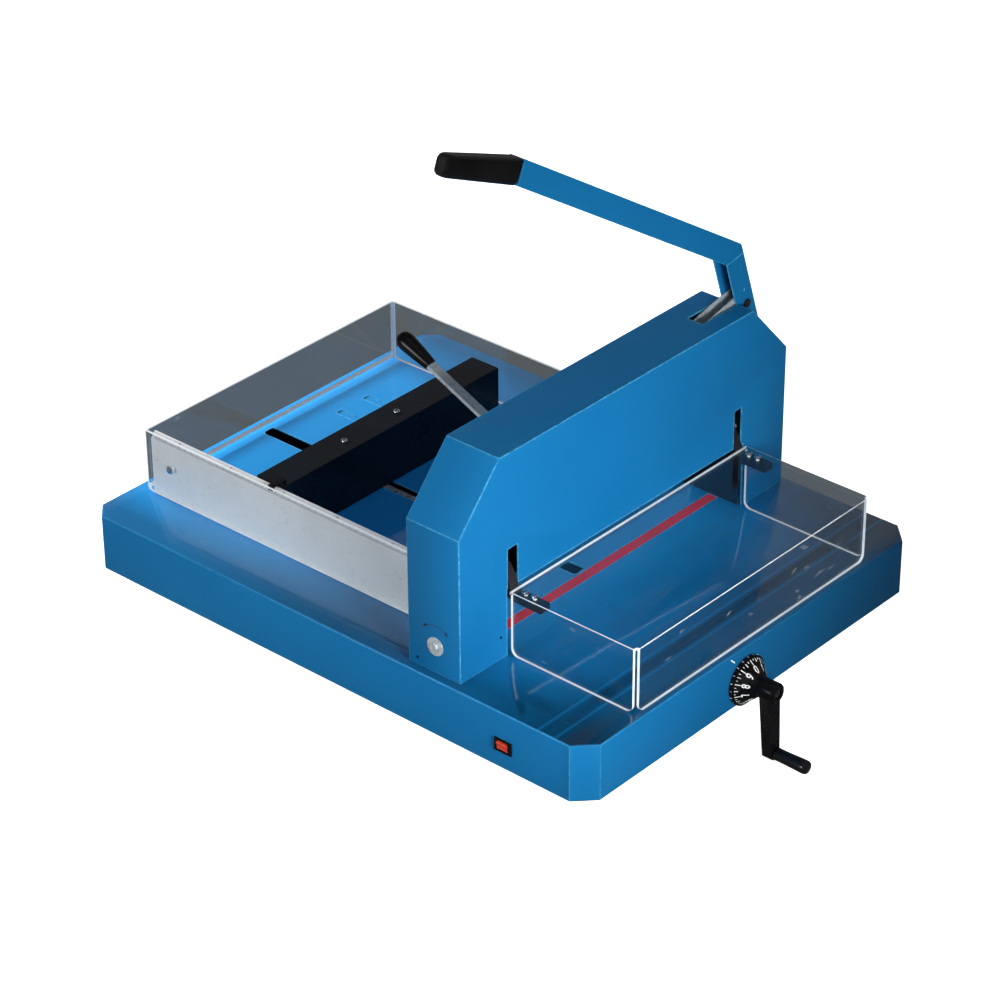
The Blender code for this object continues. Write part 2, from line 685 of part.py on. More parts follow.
def clamp_lever():
    """Lever on the clamp shaft, laid out along +Y from the shaft and then tilted up."""
    length, grip_length = 295.0, 63
    tilt = math.radians(24.2)
    turn = at(CLAMP_LEVER_X, *CLAMP_SHAFT) @ Matrix.Rotation(tilt, 4, "X")

    def tilted(obj):
        obj.data.transform(turn)
        return obj

    bar = tilted(cyl("clamp_lever_bar", "X", (0, 0), 10.5, (-9, 9), "grey_steel", steps=32))
    join(bar,
         tilted(box("lever_blade", x=(-7.5, 7.5), y=(8.5, 232), z=(-2.6, 2.6))),
         tilted(cyl("lever_shank", "Y", (0, 0), 3.6, (228, 276), steps=20)))
    cut(bar, cyl("lever_shaft_bore", "X", CLAMP_SHAFT, 6.6, (-100, -40)))
    profile = [(0, grip_length), (4, 62.4), (8, 60.6), (11, 57.2), (12.6, 52.5), (13.0, 47),
               (12.4, 38), (10.6, 20), (9.2, 6), (8.2, 1.0), (6, 0), (0, 0)]
    grip = lathe("clamp_lever_grip", profile,
                 turn @ at(0, length - grip_length, 0) @ FACING["Y"], "black_plastic")
    cut(grip,
        tilted(cyl("grip_bore", "Y", (0, 0), 4.0, (220, 278), steps=20)),
        tilted(box("grip_recess", x=(-7.9, 7.9), y=(226, 232.5), z=(-3, 3))))
    for obj in (bar, grip):
        set_origin(obj, CLAMP_LEVER_X, *CLAMP_SHAFT)


# ---------------------------------------------------------------- front guard
LID_HALF_X, LID_Y, LID_TOP_Z, LID_T = 247.0, (-444.0, -234.0), 189.0, 4.0


def front_guard_lid():
    """Flat clear lid with flaps hanging from its left, right and front edges."""
    front, rear = LID_Y
    bottom, flap_top = 92.0, LID_TOP_Z - 1
    radii = [11.0, 11.0, 0, 0]
    lid = box("front_guard_lid", x=around(0, LID_HALF_X), y=LID_Y,
              z=(LID_TOP_Z - LID_T, LID_TOP_Z), mat="clear_acrylic")
    side_flap = rounded([(front + 5, bottom), (rear - 2, bottom + 1),
                         (rear - 2, flap_top), (front + 5, flap_top)], radii)
    front_flap = rounded(rectangle(around(0, LID_HALF_X - 7), (bottom, flap_top)), radii)
    join(lid,
         prism("flap_left", side_flap, "X", (-LID_HALF_X, -LID_HALF_X + LID_T)),
         prism("flap_right", side_flap, "X", (LID_HALF_X - LID_T, LID_HALF_X)),
         prism("flap_front", front_flap, "Y", (front, front + LID_T)))
    return lid


def guard_bracket(side, x_span):
    under_lid = LID_TOP_Z - LID_T - GAP
    outline = [(-285, 173), (-238, 173), (-222, 178), (-207.2, 205), (-207.2, 219),
               (-218, 219.5), (-222, 212), (-229, 200), (LID_Y[1] + 0.6, under_lid),
               (-285, under_lid)]
    radii = [3, 6, 5, 5.4, 5, 3, 4, 0, 0, 2]
    bracket = prism("guard_bracket_" + side, rounded(outline, radii, 3), "X", x_span,
                    "black_paint")
    cut(bracket, cyl("bracket_bore_" + side, "X", LID_HINGE, 3.1, inset(x_span, -5), steps=20))
    set_origin(bracket, 0, *LID_HINGE)
    return bracket


def front_guard():
    screw_profile = [(0, 3.4), (2.6, 3.2), (4.4, 2.2), (5.0, 0.3), (2.0, 0.3), (2.0, -9.0),
                     (0, -9.0)]
    hole_r = 2.4
    lid = front_guard_lid()
    # side, bracket's x range, x of its screws
    for side, x_span, x in (("left", (-243.0, -227.0), -234.5),
                            ("right", (226.0, 240.0), 231.5)):
        bracket = guard_bracket(side, x_span)
        for k, y in enumerate((-251.0, -266.0), start=1):
            name = f"guard_screw_{side}_{k}"
            screw = lathe(name, screw_profile, at(x, y, LID_TOP_Z), "chrome", steps=20)
            cut(lid, cyl("lid_hole_" + name, "Z", (x, y), hole_r, (180, 195), steps=16))
            cut(bracket, cyl("bracket_hole_" + name, "Z", (x, y), hole_r, (179.2, 195),
                             steps=16))
            set_origin(screw, 0, *LID_HINGE)
    set_origin(lid, 0, *LID_HINGE)


# ---------------------------------------------------------------- back gauge
FENCE_TOP_Z = 178.0


def gauge_fence():
    fence_x, fence_y, wall = (-235.0, 207.0), (183.0, 234.0), 3.5
    fence = box("gauge_fence", x=fence_x, y=fence_y, z=(TABLE_Z + 0.6, FENCE_TOP_Z),
                mat="black_paint", bevel=0.8)
    cut(fence, box("fence_hollow", x=inset(fence_x, wall), y=inset(fence_y, wall),
                   z=(60, FENCE_TOP_Z - 4)))
    screw_profile = [(0, 3.2), (2.6, 3.0), (4.6, 1.8), (5.0, 0.3), (2.2, 0.3), (2.2, -8),
                     (0, -8)]
    for i, (x, y) in enumerate(((-90, 207), (18, 208))):
        lathe(f"gauge_screw_{i + 1}", screw_profile, at(x, y, FENCE_TOP_Z), "chrome", steps=20)
        cut(fence, cyl(f"fence_hole_{i}", "Z", (x, y), 2.6, (165, 190), steps=16))


def gauge_nut():
    nut = box("gauge_nut", x=around(CRANK_X, 17), y=(192, 226), z=(20, 78), mat="brass",
              bevel=1.0)
    join(nut, box("nut_neck", x=(-26.5, -19.5), y=(198, 222), z=(70, TABLE_Z)))
    cut(nut, cyl("nut_bore", "Y", SCREW_AT, 6.05, (150, 260), steps=32))


def gauge_tongue():
    box("gauge_tongue", x=(-37.5, -28.5), y=(123, 224), z=(81, TABLE_Z + 0.2),
        mat="zinc_steel", bevel=0.5)


def gauge_pointer():
    arm_y = (183.5, 193.5)
    tip = [(-255.2, 187.6), (-250.5, 187.6), (-250.5, 182.2), (-255.2, 180.2)]
    pointer = box("gauge_pointer", x=(-253.5, -228), y=arm_y, z=(184.8, 187.0),
                  mat="black_plastic")
    join(pointer,
         box("pointer_leg", x=(-234, -229), y=arm_y, z=(FENCE_TOP_Z + GAP, 186)),
         prism("pointer_tip", tip, "Y", inset(arm_y, 1)))


# ---------------------------------------------------------------- crank and lead screw
def lead_screw():
    return cyl("lead_screw", "Y", SCREW_AT, 6.0, (-478.0, 440.5), "zinc_steel", steps=32)


def crank_dial():
    profile = [(0, 27.0), (13.5, 27.0), (14.6, 25.6), (33.2, 5.6), (36.0, 4.0), (36.0, 0.6),
               (35.2, 0.0), (0, 0)]
    dial = lathe("crank_dial", profile, at(CRANK_X, -451.0, CRANK_Z) @ FACING["-Y"],
                 "black_plastic", steps=48)
    cut(dial, cyl("dial_bore", "Y", SCREW_AT, 6.4, (-490, -440)))
    return dial


def crank_arm():
    """Hub on the lead screw with a tapering web down to the handle."""
    hub = cyl("crank_arm", "Y", SCREW_AT, 14.6, (-505, -478.4), "black_plastic", steps=36)
    centre, handle = Vector(SCREW_AT), Vector(CRANK_HANDLE)
    along = (handle - centre).normalized()
    across = left_of(along)
    web = [centre + across * 13 + along * 2, centre - across * 13 + along * 2,
           handle - across * 9 + along * 10, handle + across * 9 + along * 10]
    join(hub, prism("crank_web", rounded(web, [0, 0, 6, 6], 4), "Y", (-498, -482)))
    cut(hub, cyl("hub_socket", "Y", SCREW_AT, 7.0, (-510, -501.5), steps=24),
        cyl("crank_pin_bore", "Y", CRANK_HANDLE, 4.3, (-510, -484.5), steps=24))
    return hub


def crank_pin():
    return cyl("crank_pin", "Y", CRANK_HANDLE, 4.0, (-546, -485), "chrome", steps=24)


def crank_grip():
    x, z = CRANK_HANDLE
    rear_y = -499.0
    profile = [(0, 53.0), (6.5, 53.0), (8.6, 52.0), (9.7, 49.4), (9.7, 44), (8.9, 20),
               (8.8, 6), (9.0, 2.2), (8.0, 0.0), (0, 0)]
    grip = lathe("crank_grip", profile, at(x, rear_y, z) @ FACING["-Y"], "black_plastic")
    cut(grip, cyl("grip_bore_y", "Y", CRANK_HANDLE, 4.06, (-548, -490), steps=32))
    set_origin(grip, x, rear_y, z)


def crank():
    for obj in (lead_screw(), crank_dial(), crank_arm(), crank_pin()):
        set_origin(obj, CRANK_X, -BASE_HALF_Y, CRANK_Z)
    crank_grip()


# ---------------------------------------------------------------- build
for build in (base_housing, bottom_plate, feet, index_mark, power_switch, cutting_stick,
              head_cover, side_frames, beams, lever_pedestal, light_bar, bearings,
              guard_hinge_pins, depth_adjuster, side_rail, rear_guard, cutting_lever,
              drive_link, knife_assembly, clamp_bar, clamp_shaft, clamp_lever, front_guard,
              gauge_fence, gauge_nut, gauge_tongue, gauge_pointer, crank):
    build()
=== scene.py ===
"""Stack paper cutter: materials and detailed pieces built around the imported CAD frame.

The machine stands on its feet with +Z up. The operator's side, with the crank dial and the
front lid, faces -Y; the printed left side of the head faces -X. Piece sizes are in
millimetres; positions in shaders, the floor, lights and camera are in metres.
"""

import json
import math
import random

import bmesh
import bpy
from mathutils import Matrix, Vector

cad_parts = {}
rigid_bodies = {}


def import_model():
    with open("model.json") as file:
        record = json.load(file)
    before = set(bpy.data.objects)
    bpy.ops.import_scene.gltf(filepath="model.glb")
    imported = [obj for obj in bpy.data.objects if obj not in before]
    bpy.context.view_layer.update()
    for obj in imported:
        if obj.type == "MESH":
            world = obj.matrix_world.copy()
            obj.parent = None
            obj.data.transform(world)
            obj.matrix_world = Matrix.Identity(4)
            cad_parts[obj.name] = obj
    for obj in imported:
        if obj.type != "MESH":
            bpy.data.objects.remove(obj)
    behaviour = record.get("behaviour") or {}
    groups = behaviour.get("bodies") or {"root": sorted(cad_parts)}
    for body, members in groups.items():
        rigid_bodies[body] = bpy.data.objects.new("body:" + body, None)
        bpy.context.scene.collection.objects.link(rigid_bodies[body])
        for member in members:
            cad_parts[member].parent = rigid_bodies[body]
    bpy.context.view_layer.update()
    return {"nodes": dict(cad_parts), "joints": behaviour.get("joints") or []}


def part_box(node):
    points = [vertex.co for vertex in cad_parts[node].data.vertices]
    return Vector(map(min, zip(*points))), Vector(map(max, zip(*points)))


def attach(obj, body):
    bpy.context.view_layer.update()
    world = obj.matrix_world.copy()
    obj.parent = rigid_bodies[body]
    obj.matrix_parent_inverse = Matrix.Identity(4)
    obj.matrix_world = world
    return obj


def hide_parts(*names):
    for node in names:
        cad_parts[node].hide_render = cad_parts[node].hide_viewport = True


for old in list(bpy.data.objects):
    bpy.data.objects.remove(old, do_unlink=True)

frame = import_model()
MM = 0.001
scene = bpy.context.scene


class Box:
    """Bounds and centre of a CAD node in mm."""

    def __init__(self, node):
        low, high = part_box(node)
        self.x0, self.x1 = low.x / MM, high.x / MM
        self.y0, self.y1 = low.y / MM, high.y / MM
        self.z0, self.z1 = low.z / MM, high.z / MM
        self.x = (self.x0 + self.x1) / 2
        self.y = (self.y0 + self.y1) / 2
        self.z = (self.z0 + self.z1) / 2


# ================================================================ shader tools
class Graph:
    """Short calls that add linked nodes to a shader tree."""

    def __init__(self, tree):
        self.tree = tree

    def feed(self, socket, value):
        """Links an output into the socket, or sets a number, vector or RGB colour on it."""
        if isinstance(value, bpy.types.NodeSocket):
            self.tree.links.new(value, socket)
        elif isinstance(value, tuple) and socket.type == "RGBA":
            socket.default_value = (*value, 1.0)
        else:
            socket.default_value = value

    def node(self, kind, inputs=None, **settings):
        node = self.tree.nodes.new(kind)
        for key, value in settings.items():
            setattr(node, key, value)
        for key, value in (inputs or {}).items():
            self.feed(node.inputs[key], value)
        return node

    def math(self, operation, a, b=0.0):
        return self.node("ShaderNodeMath", {0: a, 1: b}, operation=operation).outputs[0]

    def times(self, a, b):
        return self.math("MULTIPLY", a, b)

    def remap(self, value, span, onto=(0.0, 1.0), interpolation="LINEAR"):
        """Maps the span of a value onto another range, clamped."""
        inputs = {"From Min": span[0], "From Max": span[1],
                  "To Min": onto[0], "To Max": onto[1], "Value": value}
        node = self.node("ShaderNodeMapRange", inputs, interpolation_type=interpolation)
        return node.outputs["Result"]

    def split(self, vector):
        return self.node("ShaderNodeSeparateXYZ", {0: vector}).outputs

    def grey(self, level):
        return self.node("ShaderNodeCombineColor", {0: level, 1: level, 2: level}).outputs[0]

    def mix_shader(self, factor, first, second):
        return self.node("ShaderNodeMixShader", {0: factor, 1: first, 2: second}).outputs[0]


class Material(Graph):
    """Node material around a Principled shader, textured in object coordinates."""

    INPUTS = {"color": "Base Color", "rough": "Roughness", "metal": "Metallic",
              "normal": "Normal", "coat": "Coat Weight", "coat_rough": "Coat Roughness",
              "spec": "Specular IOR Level", "emit": "Emission Color",
              "emit_strength": "Emission Strength"}

    def __init__(self, name):
        self.data = bpy.data.materials.new(name)
        self.data.use_nodes = True
        super().__init__(self.data.node_tree)
        self.shader = self.tree.nodes["Principled BSDF"]
        self.surface = self.tree.nodes["Material Output"].inputs["Surface"]
        self.coords = self.node("ShaderNodeTexCoord").outputs["Object"]

    def set(self, **values):
        for key, value in values.items():
            self.feed(self.shader.inputs[self.INPUTS[key]], value)

    def mapped(self, scale, turn=(0, 0, 0)):
        inputs = {"Scale": scale, "Rotation": turn, "Vector": self.coords}
        return self.node("ShaderNodeMapping", inputs).outputs["Vector"]

    def noise(self, scale, detail=4.0, rough=0.5, vector=None, distortion=0.0):
        inputs = {"Scale": scale, "Detail": detail, "Roughness": rough,
                  "Distortion": distortion, "Vector": vector or self.coords}
        return self.node("ShaderNodeTexNoise", inputs).outputs["Fac"]

    def voronoi(self, scale, output="Distance"):
        inputs = {"Scale": scale, "Vector": self.coords}
        return self.node("ShaderNodeTexVoronoi", inputs).outputs[output]

    def mix(self, factor, a, b, span=None, onto=(0.0, 1.0), blend="MIX"):
        """Blends colour a towards b; a span remaps the factor first."""
        if span:
            factor = self.remap(factor, span, onto)
        return self.node("ShaderNodeMix", {0: factor, 6: a, 7: b},
                         data_type="RGBA", blend_type=blend).outputs[2]

    def bump(self, height, strength, distance):
        inputs = {"Strength": strength, "Distance": distance, "Height": height}
        return self.node("ShaderNodeBump", inputs).outputs["Normal"]

    def edge_mask(self, radius, span=(0.02, 0.25)):
        """1 where the surface turns over an edge within the radius (m)."""
        bevel = self.node("ShaderNodeBevel", {"Radius": radius}, samples=4)
        geometry = self.node("ShaderNodeNewGeometry")
        dot = self.node("ShaderNodeVectorMath",
                        {0: bevel.outputs["Normal"], 1: geometry.outputs["Normal"]},
                        operation="DOT_PRODUCT")
        return self.remap(self.math("SUBTRACT", 1.0, dot.outputs["Value"]), span)


def scaled(color, factor):
    return tuple(channel * factor for channel in color)


# ================================================================ materials
PAINT_SPEC = 0.16


def table_top(mat, body, roughness):
    """Smoother, deeper gloss, hairline scratches and painted light and shade on faces that look
    up, and painted shade on the upright front face; returns the new colour.
    """
    geometry = mat.node("ShaderNodeNewGeometry")
    up = mat.remap(mat.split(geometry.outputs["True Normal"])["Z"], span=(0.90, 0.97))
    wipe = mat.noise(scale=5.0, detail=6.0, rough=0.6, distortion=1.6)
    polished = mat.remap(wipe, span=(0.35, 0.7), onto=(0.05, 0.11))
    rough = mat.node("ShaderNodeMix", {0: up, 2: roughness, 3: polished}, data_type="FLOAT")
    mat.set(rough=rough.outputs[0], coat=mat.times(up, 0.9), coat_rough=0.03,
            spec=mat.remap(up, span=(0, 1), onto=(PAINT_SPEC, 0.5)))

    # hairline scratches
    line = mat.noise(scale=30.0, detail=3.0, rough=0.5,
                     vector=mat.mapped(scale=(1, 40, 1), turn=(0, 0, 0.5)))
    hair = mat.times(mat.remap(line, span=(0.70, 0.715), onto=(0, 0.35)), up)
    body = mat.mix(hair, body, (0.12, 0.36, 0.55))

    # painted light and shade over the table: paler in the middle and to the rear, darker at the
    # other rims
    position = mat.split(geometry.outputs["Position"])
    x, y = position["X"], position["Y"]
    tone = mat.times(mat.remap(y, span=(-0.385, -0.25), onto=(0.50, 1.55)),
                     mat.remap(x, span=(-0.32, -0.20), onto=(0.32, 1.0)))
    tone = mat.times(tone, mat.remap(x, span=(0.20, 0.33), onto=(1.0, 0.36)))
    tone = mat.times(tone, mat.remap(y, span=(-0.02, 0.22), onto=(1.0, 1.75)))
    # a painted dark band along the front as painted shade, with a painted highlight line on each
    # side of it
    band_y, line_offset = -0.383, 0.014
    off = mat.math("ABSOLUTE", mat.math("ADD", y, -band_y))
    painted_dark_band = mat.times(mat.remap(off, span=(0.006, 0.011), onto=(1.0, 0.0)),
                     mat.remap(mat.math("ABSOLUTE", x), span=(0.24, 0.30), onto=(1.0, 0.0)))
    tone = mat.times(tone, mat.math("SUBTRACT", 1.0, mat.times(painted_dark_band, 0.5)))
    from_line = mat.math("ABSOLUTE", mat.math("SUBTRACT", off, line_offset))
    painted_highlight_line = mat.times(mat.remap(from_line, span=(0.001, 0.003), onto=(1.0, 0.0)), 0.5)
    tone = mat.math("ADD", tone, mat.times(painted_highlight_line, 0.6))
    body = mat.mix(up, body, mat.grey(tone), blend="MULTIPLY")

    # painted shade: the upright front face darkens towards +X
    side = mat.times(mat.remap(x, span=(-0.30, 0.34), onto=(0.22, 0.95)),
                     mat.remap(y, span=(-0.43, -0.40), onto=(1.0, 0.0)))
    upright = mat.math("SUBTRACT", 1.0, up)
    return mat.mix(mat.times(side, upright), body, (0.004, 0.045, 0.11))


def blue_paint(name, deep, light, rough, grain, edge_radius, table=False):
    """Enamelled sheet steel: fine orange peel, slight clouds, a broken painted highlight along
    the bends, specks.
    """
    mat = Material(name)
    cloud = mat.noise(scale=3.2, detail=3.0, rough=0.55)
    fine = mat.noise(scale=620.0, detail=3.0, rough=0.6)
    peel = mat.noise(scale=1500.0, detail=2.0, rough=0.5)
    body = mat.mix(cloud, deep, light, span=(0.3, 0.7))
    flecks = mat.times(mat.remap(fine, span=(0.35, 0.7)), 0.22)
    body = mat.mix(flecks, body, (light[0], light[1] * 1.3, light[2] * 1.25))
    # painted highlight: the bends turn paler, broken up by noise
    broken = mat.remap(mat.noise(scale=150.0, detail=5.0, rough=0.75),
                       span=(0.36, 0.60), onto=(0.10, 1.0))
    painted_bend_highlight = mat.times(mat.edge_mask(edge_radius, span=(0.004, 0.07)), broken)
    body = mat.mix(painted_bend_highlight, body, (0.15, 0.58, 0.84))
    speck = mat.remap(mat.voronoi(scale=260.0), span=(0.02, 0.055), onto=(1.0, 0.0))
    patches = mat.remap(mat.noise(scale=17.0), span=(0.55, 0.72), onto=(0.0, 0.30))
    body = mat.mix(mat.times(speck, patches), body, (0.25, 0.5, 0.68))
    smear = mat.noise(scale=11.0, detail=6.0, rough=0.65, distortion=0.8)
    roughness = mat.remap(smear, span=(0.3, 0.75), onto=rough)
    if table:
        body = table_top(mat, body, roughness)
    else:
        mat.set(rough=roughness, coat=0.05, coat_rough=0.12, spec=PAINT_SPEC)
    height = mat.math("ADD", mat.times(peel, 0.5), mat.times(fine, 0.5))
    mat.set(color=body, normal=mat.bump(height, strength=grain, distance=0.0004))
    return mat.data


def black_paint(name, base, rough):
    """Black enamel with chipped edges and faint scratches."""
    mat = Material(name)
    fine = mat.noise(scale=900.0, detail=3.0, rough=0.6)
    cloud = mat.noise(scale=9.0, detail=4.0, rough=0.6)
    scratch = mat.noise(scale=60.0, detail=6.0, rough=0.7, vector=mat.mapped(scale=(1, 14, 14)))
    color = mat.mix(cloud, base, scaled(base, 2.2), span=(0.3, 0.7))
    broken = mat.remap(mat.noise(scale=220.0, detail=4, rough=0.7),
                       span=(0.4, 0.6), onto=(0, 0.5))
    color = mat.mix(mat.times(mat.edge_mask(radius=0.0010), broken), color, (0.14, 0.14, 0.15))
    color = mat.mix(scratch, color, (0.09, 0.10, 0.12), span=(0.66, 0.74), onto=(0, 0.22))
    mat.set(color=color, rough=mat.remap(cloud, span=(0.3, 0.7), onto=rough), spec=0.22,
            normal=mat.bump(fine, strength=0.10, distance=0.0004))
    return mat.data


def steel(name, tone, rough, grain, bump, stain):
    """Ground or rolled steel; grain is the texture scale per axis, 1 along the grain."""
    mat = Material(name)
    lines = mat.noise(scale=22.0, detail=6.0, rough=0.65, vector=mat.mapped(scale=grain))
    cloud = mat.noise(scale=14.0, detail=5.0, rough=0.6)
    color = mat.mix(lines, scaled(tone, 0.82), scaled(tone, 1.12), span=(0.3, 0.7))
    color = mat.mix(cloud, color, scaled(tone, 0.55), span=(0.52, 0.8), onto=(0, stain))
    roughness = mat.math("ADD", mat.remap(lines, span=(0.3, 0.7), onto=rough),
                         mat.remap(cloud, span=(0.5, 0.8), onto=(0.0, 0.08)))
    mat.set(color=color, rough=roughness, metal=1.0,
            normal=mat.bump(lines, strength=bump, distance=0.0003))
    return mat.data


def zinc(name):
    """Bright zinc plating with faint spangle and rolling lines."""
    mat = Material(name)
    cells = mat.node("ShaderNodeSeparateColor", {0: mat.voronoi(scale=160.0, output="Color")})
    lines = mat.noise(scale=30.0, detail=6.0, rough=0.7,
                      vector=mat.mapped(scale=(1, 40, 40), turn=(0, math.radians(20), 0)))
    color = mat.mix(cells.outputs[0], (0.525, 0.60, 0.625), (0.775, 0.85, 0.875),
                    span=(0, 1), onto=(0, 0.6))
    color = mat.mix(lines, color, (0.20, 0.24, 0.26), span=(0.55, 0.75), onto=(0, 0.4))
    # painted highlight: the edges turn pale
    edges = mat.times(mat.edge_mask(radius=0.0009, span=(0.004, 0.08)), 0.8)
    color = mat.mix(edges, color, (0.9, 0.95, 1.0))
    mat.set(color=color, metal=0.45,
            rough=mat.remap(cells.outputs[1], span=(0, 1), onto=(0.26, 0.42)),
            normal=mat.bump(lines, strength=0.08, distance=0.0003))
    return mat.data


def chrome(name):
    mat = Material(name)
    haze = mat.noise(scale=180.0, detail=5.0, rough=0.7)
    color = mat.mix(haze, (0.86, 0.87, 0.89), (0.62, 0.64, 0.67), span=(0.4, 0.7), onto=(0, 0.4))
    mat.set(color=color, metal=1.0, rough=mat.remap(haze, span=(0.3, 0.7), onto=(0.05, 0.17)),
            normal=mat.bump(haze, strength=0.03, distance=0.0002))
    return mat.data


def plastic(name, base, pale, rough, grain, scale=1400.0, spec=0.5, coat=0.0):
    """Moulded plastic with a fine spark-eroded grain and handled shine."""
    mat = Material(name)
    cells = mat.voronoi(scale)
    worn = mat.noise(scale=24.0, detail=5.0, rough=0.6)
    color = mat.mix(worn, base, pale, span=(0.35, 0.7))
    edge_color = tuple(min(1, channel * 2.2 + 0.015) for channel in base)
    color = mat.mix(mat.times(mat.edge_mask(radius=0.0009), 0.35), color, edge_color)
    mat.set(color=color, rough=mat.remap(worn, span=(0.3, 0.7), onto=rough), spec=spec,
            coat=coat, coat_rough=0.15, normal=mat.bump(cells, strength=grain, distance=0.0002))
    return mat.data


def white_paint(name, base):
    mat = Material(name)
    fine = mat.noise(scale=800.0, detail=3.0, rough=0.6)
    cloud = mat.noise(scale=6.0, detail=4.0, rough=0.6)
    streak = mat.noise(scale=20.0, detail=5.0, rough=0.7, vector=mat.mapped(scale=(6, 1, 6)))
    color = mat.mix(cloud, base, scaled(base, 0.93), span=(0.3, 0.7))
    color = mat.mix(streak, color, (0.55, 0.55, 0.54), span=(0.6, 0.8), onto=(0, 0.3))
    color = mat.mix(mat.times(mat.edge_mask(radius=0.0012), 0.3), color, (0.9, 0.9, 0.9))
    mat.set(color=color, rough=mat.remap(cloud, span=(0.3, 0.7), onto=(0.3, 0.42)),
            normal=mat.bump(fine, strength=0.07, distance=0.0004))
    return mat.data


def rubber(name):
    mat = Material(name)
    grain = mat.noise(scale=700.0, detail=4, rough=0.6)
    dust = mat.noise(scale=30.0, detail=4, rough=0.6)
    color = mat.mix(dust, (0.012, 0.012, 0.012), (0.05, 0.048, 0.045),
                    span=(0.4, 0.8), onto=(0, 0.6))
    mat.set(color=color, rough=mat.remap(grain, span=(0.3, 0.7), onto=(0.65, 0.85)),
            normal=mat.bump(grain, strength=0.2, distance=0.0003))
    return mat.data


def brass(name):
    mat = Material(name)
    lines = mat.noise(scale=40.0, detail=5, rough=0.6, vector=mat.mapped(scale=(1, 20, 20)))
    color = mat.mix(lines, (0.55, 0.38, 0.12), (0.70, 0.52, 0.2), span=(0.3, 0.7))
    mat.set(color=color, metal=1.0, rough=mat.remap(lines, span=(0.3, 0.7), onto=(0.2, 0.38)),
            normal=mat.bump(lines, strength=0.05, distance=0.0003))
    return mat.data


def stick_red(name):
    """Red plastic of the cutting stick, scored along X."""
    mat = Material(name)
    score = mat.noise(scale=40.0, detail=6.0, rough=0.7, vector=mat.mapped(scale=(1, 220, 220)))
    cloud = mat.noise(scale=30.0, detail=4, rough=0.6)
    color = mat.mix(cloud, (0.66, 0.016, 0.020), (0.80, 0.036, 0.040), span=(0.3, 0.7))
    color = mat.mix(score, color, (0.30, 0.01, 0.015), span=(0.6, 0.7), onto=(0, 0.35))
    mat.set(color=color, rough=mat.remap(cloud, span=(0.3, 0.7), onto=(0.3, 0.45)),
            normal=mat.bump(score, strength=0.15, distance=0.0004))
    return mat.data


def acrylic(name, tint, haze, ior=1.36):
    """Clear sheet as thin panels: unbent light, Fresnel reflection, scratches and smudges."""
    mat = Material(name)
    first = mat.noise(scale=26.0, detail=2.0, rough=0.5,
                      vector=mat.mapped(scale=(1, 26, 3), turn=(0.3, 0.2, 0.5)))
    second = mat.noise(scale=34.0, detail=2.0, rough=0.5,
                       vector=mat.mapped(scale=(30, 2, 5), turn=(0.6, 0.4, -0.35)))
    scratch = mat.math("MAXIMUM", mat.remap(first, span=(0.700, 0.712)),
                       mat.remap(second, span=(0.710, 0.722)))
    smudge = mat.remap(mat.noise(scale=7.0, detail=5.0, rough=0.6), span=(0.45, 0.8))
    color = mat.mix(smudge, tint, scaled(tint, 0.965))
    clear = mat.node("ShaderNodeBsdfTransparent", {"Color": color})
    gloss = mat.node("ShaderNodeBsdfGlossy", {"Roughness": 0.03, "Color": (1, 1, 1)})
    milky = mat.node("ShaderNodeBsdfDiffuse", {"Color": (0.8, 0.85, 0.88)})
    backfacing = mat.node("ShaderNodeNewGeometry").outputs["Backfacing"]
    fresnel = mat.node("ShaderNodeFresnel",
                       {"IOR": mat.remap(backfacing, span=(0, 1), onto=(ior, 1 / ior))})
    panel = mat.mix_shader(fresnel.outputs[0], clear.outputs[0], gloss.outputs[0])
    dull = mat.math("ADD", mat.times(scratch, 0.12), mat.times(smudge, haze))
    mat.feed(mat.surface, mat.mix_shader(dull, panel, milky.outputs[0]))
    mat.tree.nodes.remove(mat.shader)
    return mat.data


def sheet_edge(name, tone, glow):
    """Sawn or bent edge of the clear sheet; its emission is a painted glow for the light such
    edges gather.
    """
    mat = Material(name)
    saw = mat.noise(scale=160.0, detail=4.0, rough=0.7)
    color = mat.mix(saw, tone, scaled(tone, 0.8), span=(0.35, 0.7))
    # emission: painted glow along the sheet's edges and bends
    mat.set(color=color, rough=mat.remap(saw, span=(0.3, 0.7), onto=(0.15, 0.35)),
            emit=color, emit_strength=glow, normal=mat.bump(saw, strength=0.1, distance=0.0003))
    return mat.data


def marking(name, ink):
    mat = Material(name)
    fine = mat.noise(scale=500.0, detail=3, rough=0.6)
    mat.set(color=mat.mix(fine, ink, scaled(ink, 0.82), span=(0.35, 0.7), onto=(0, 0.5)),
            rough=0.5, normal=mat.bump(fine, strength=0.05, distance=0.0002))
    return mat.data


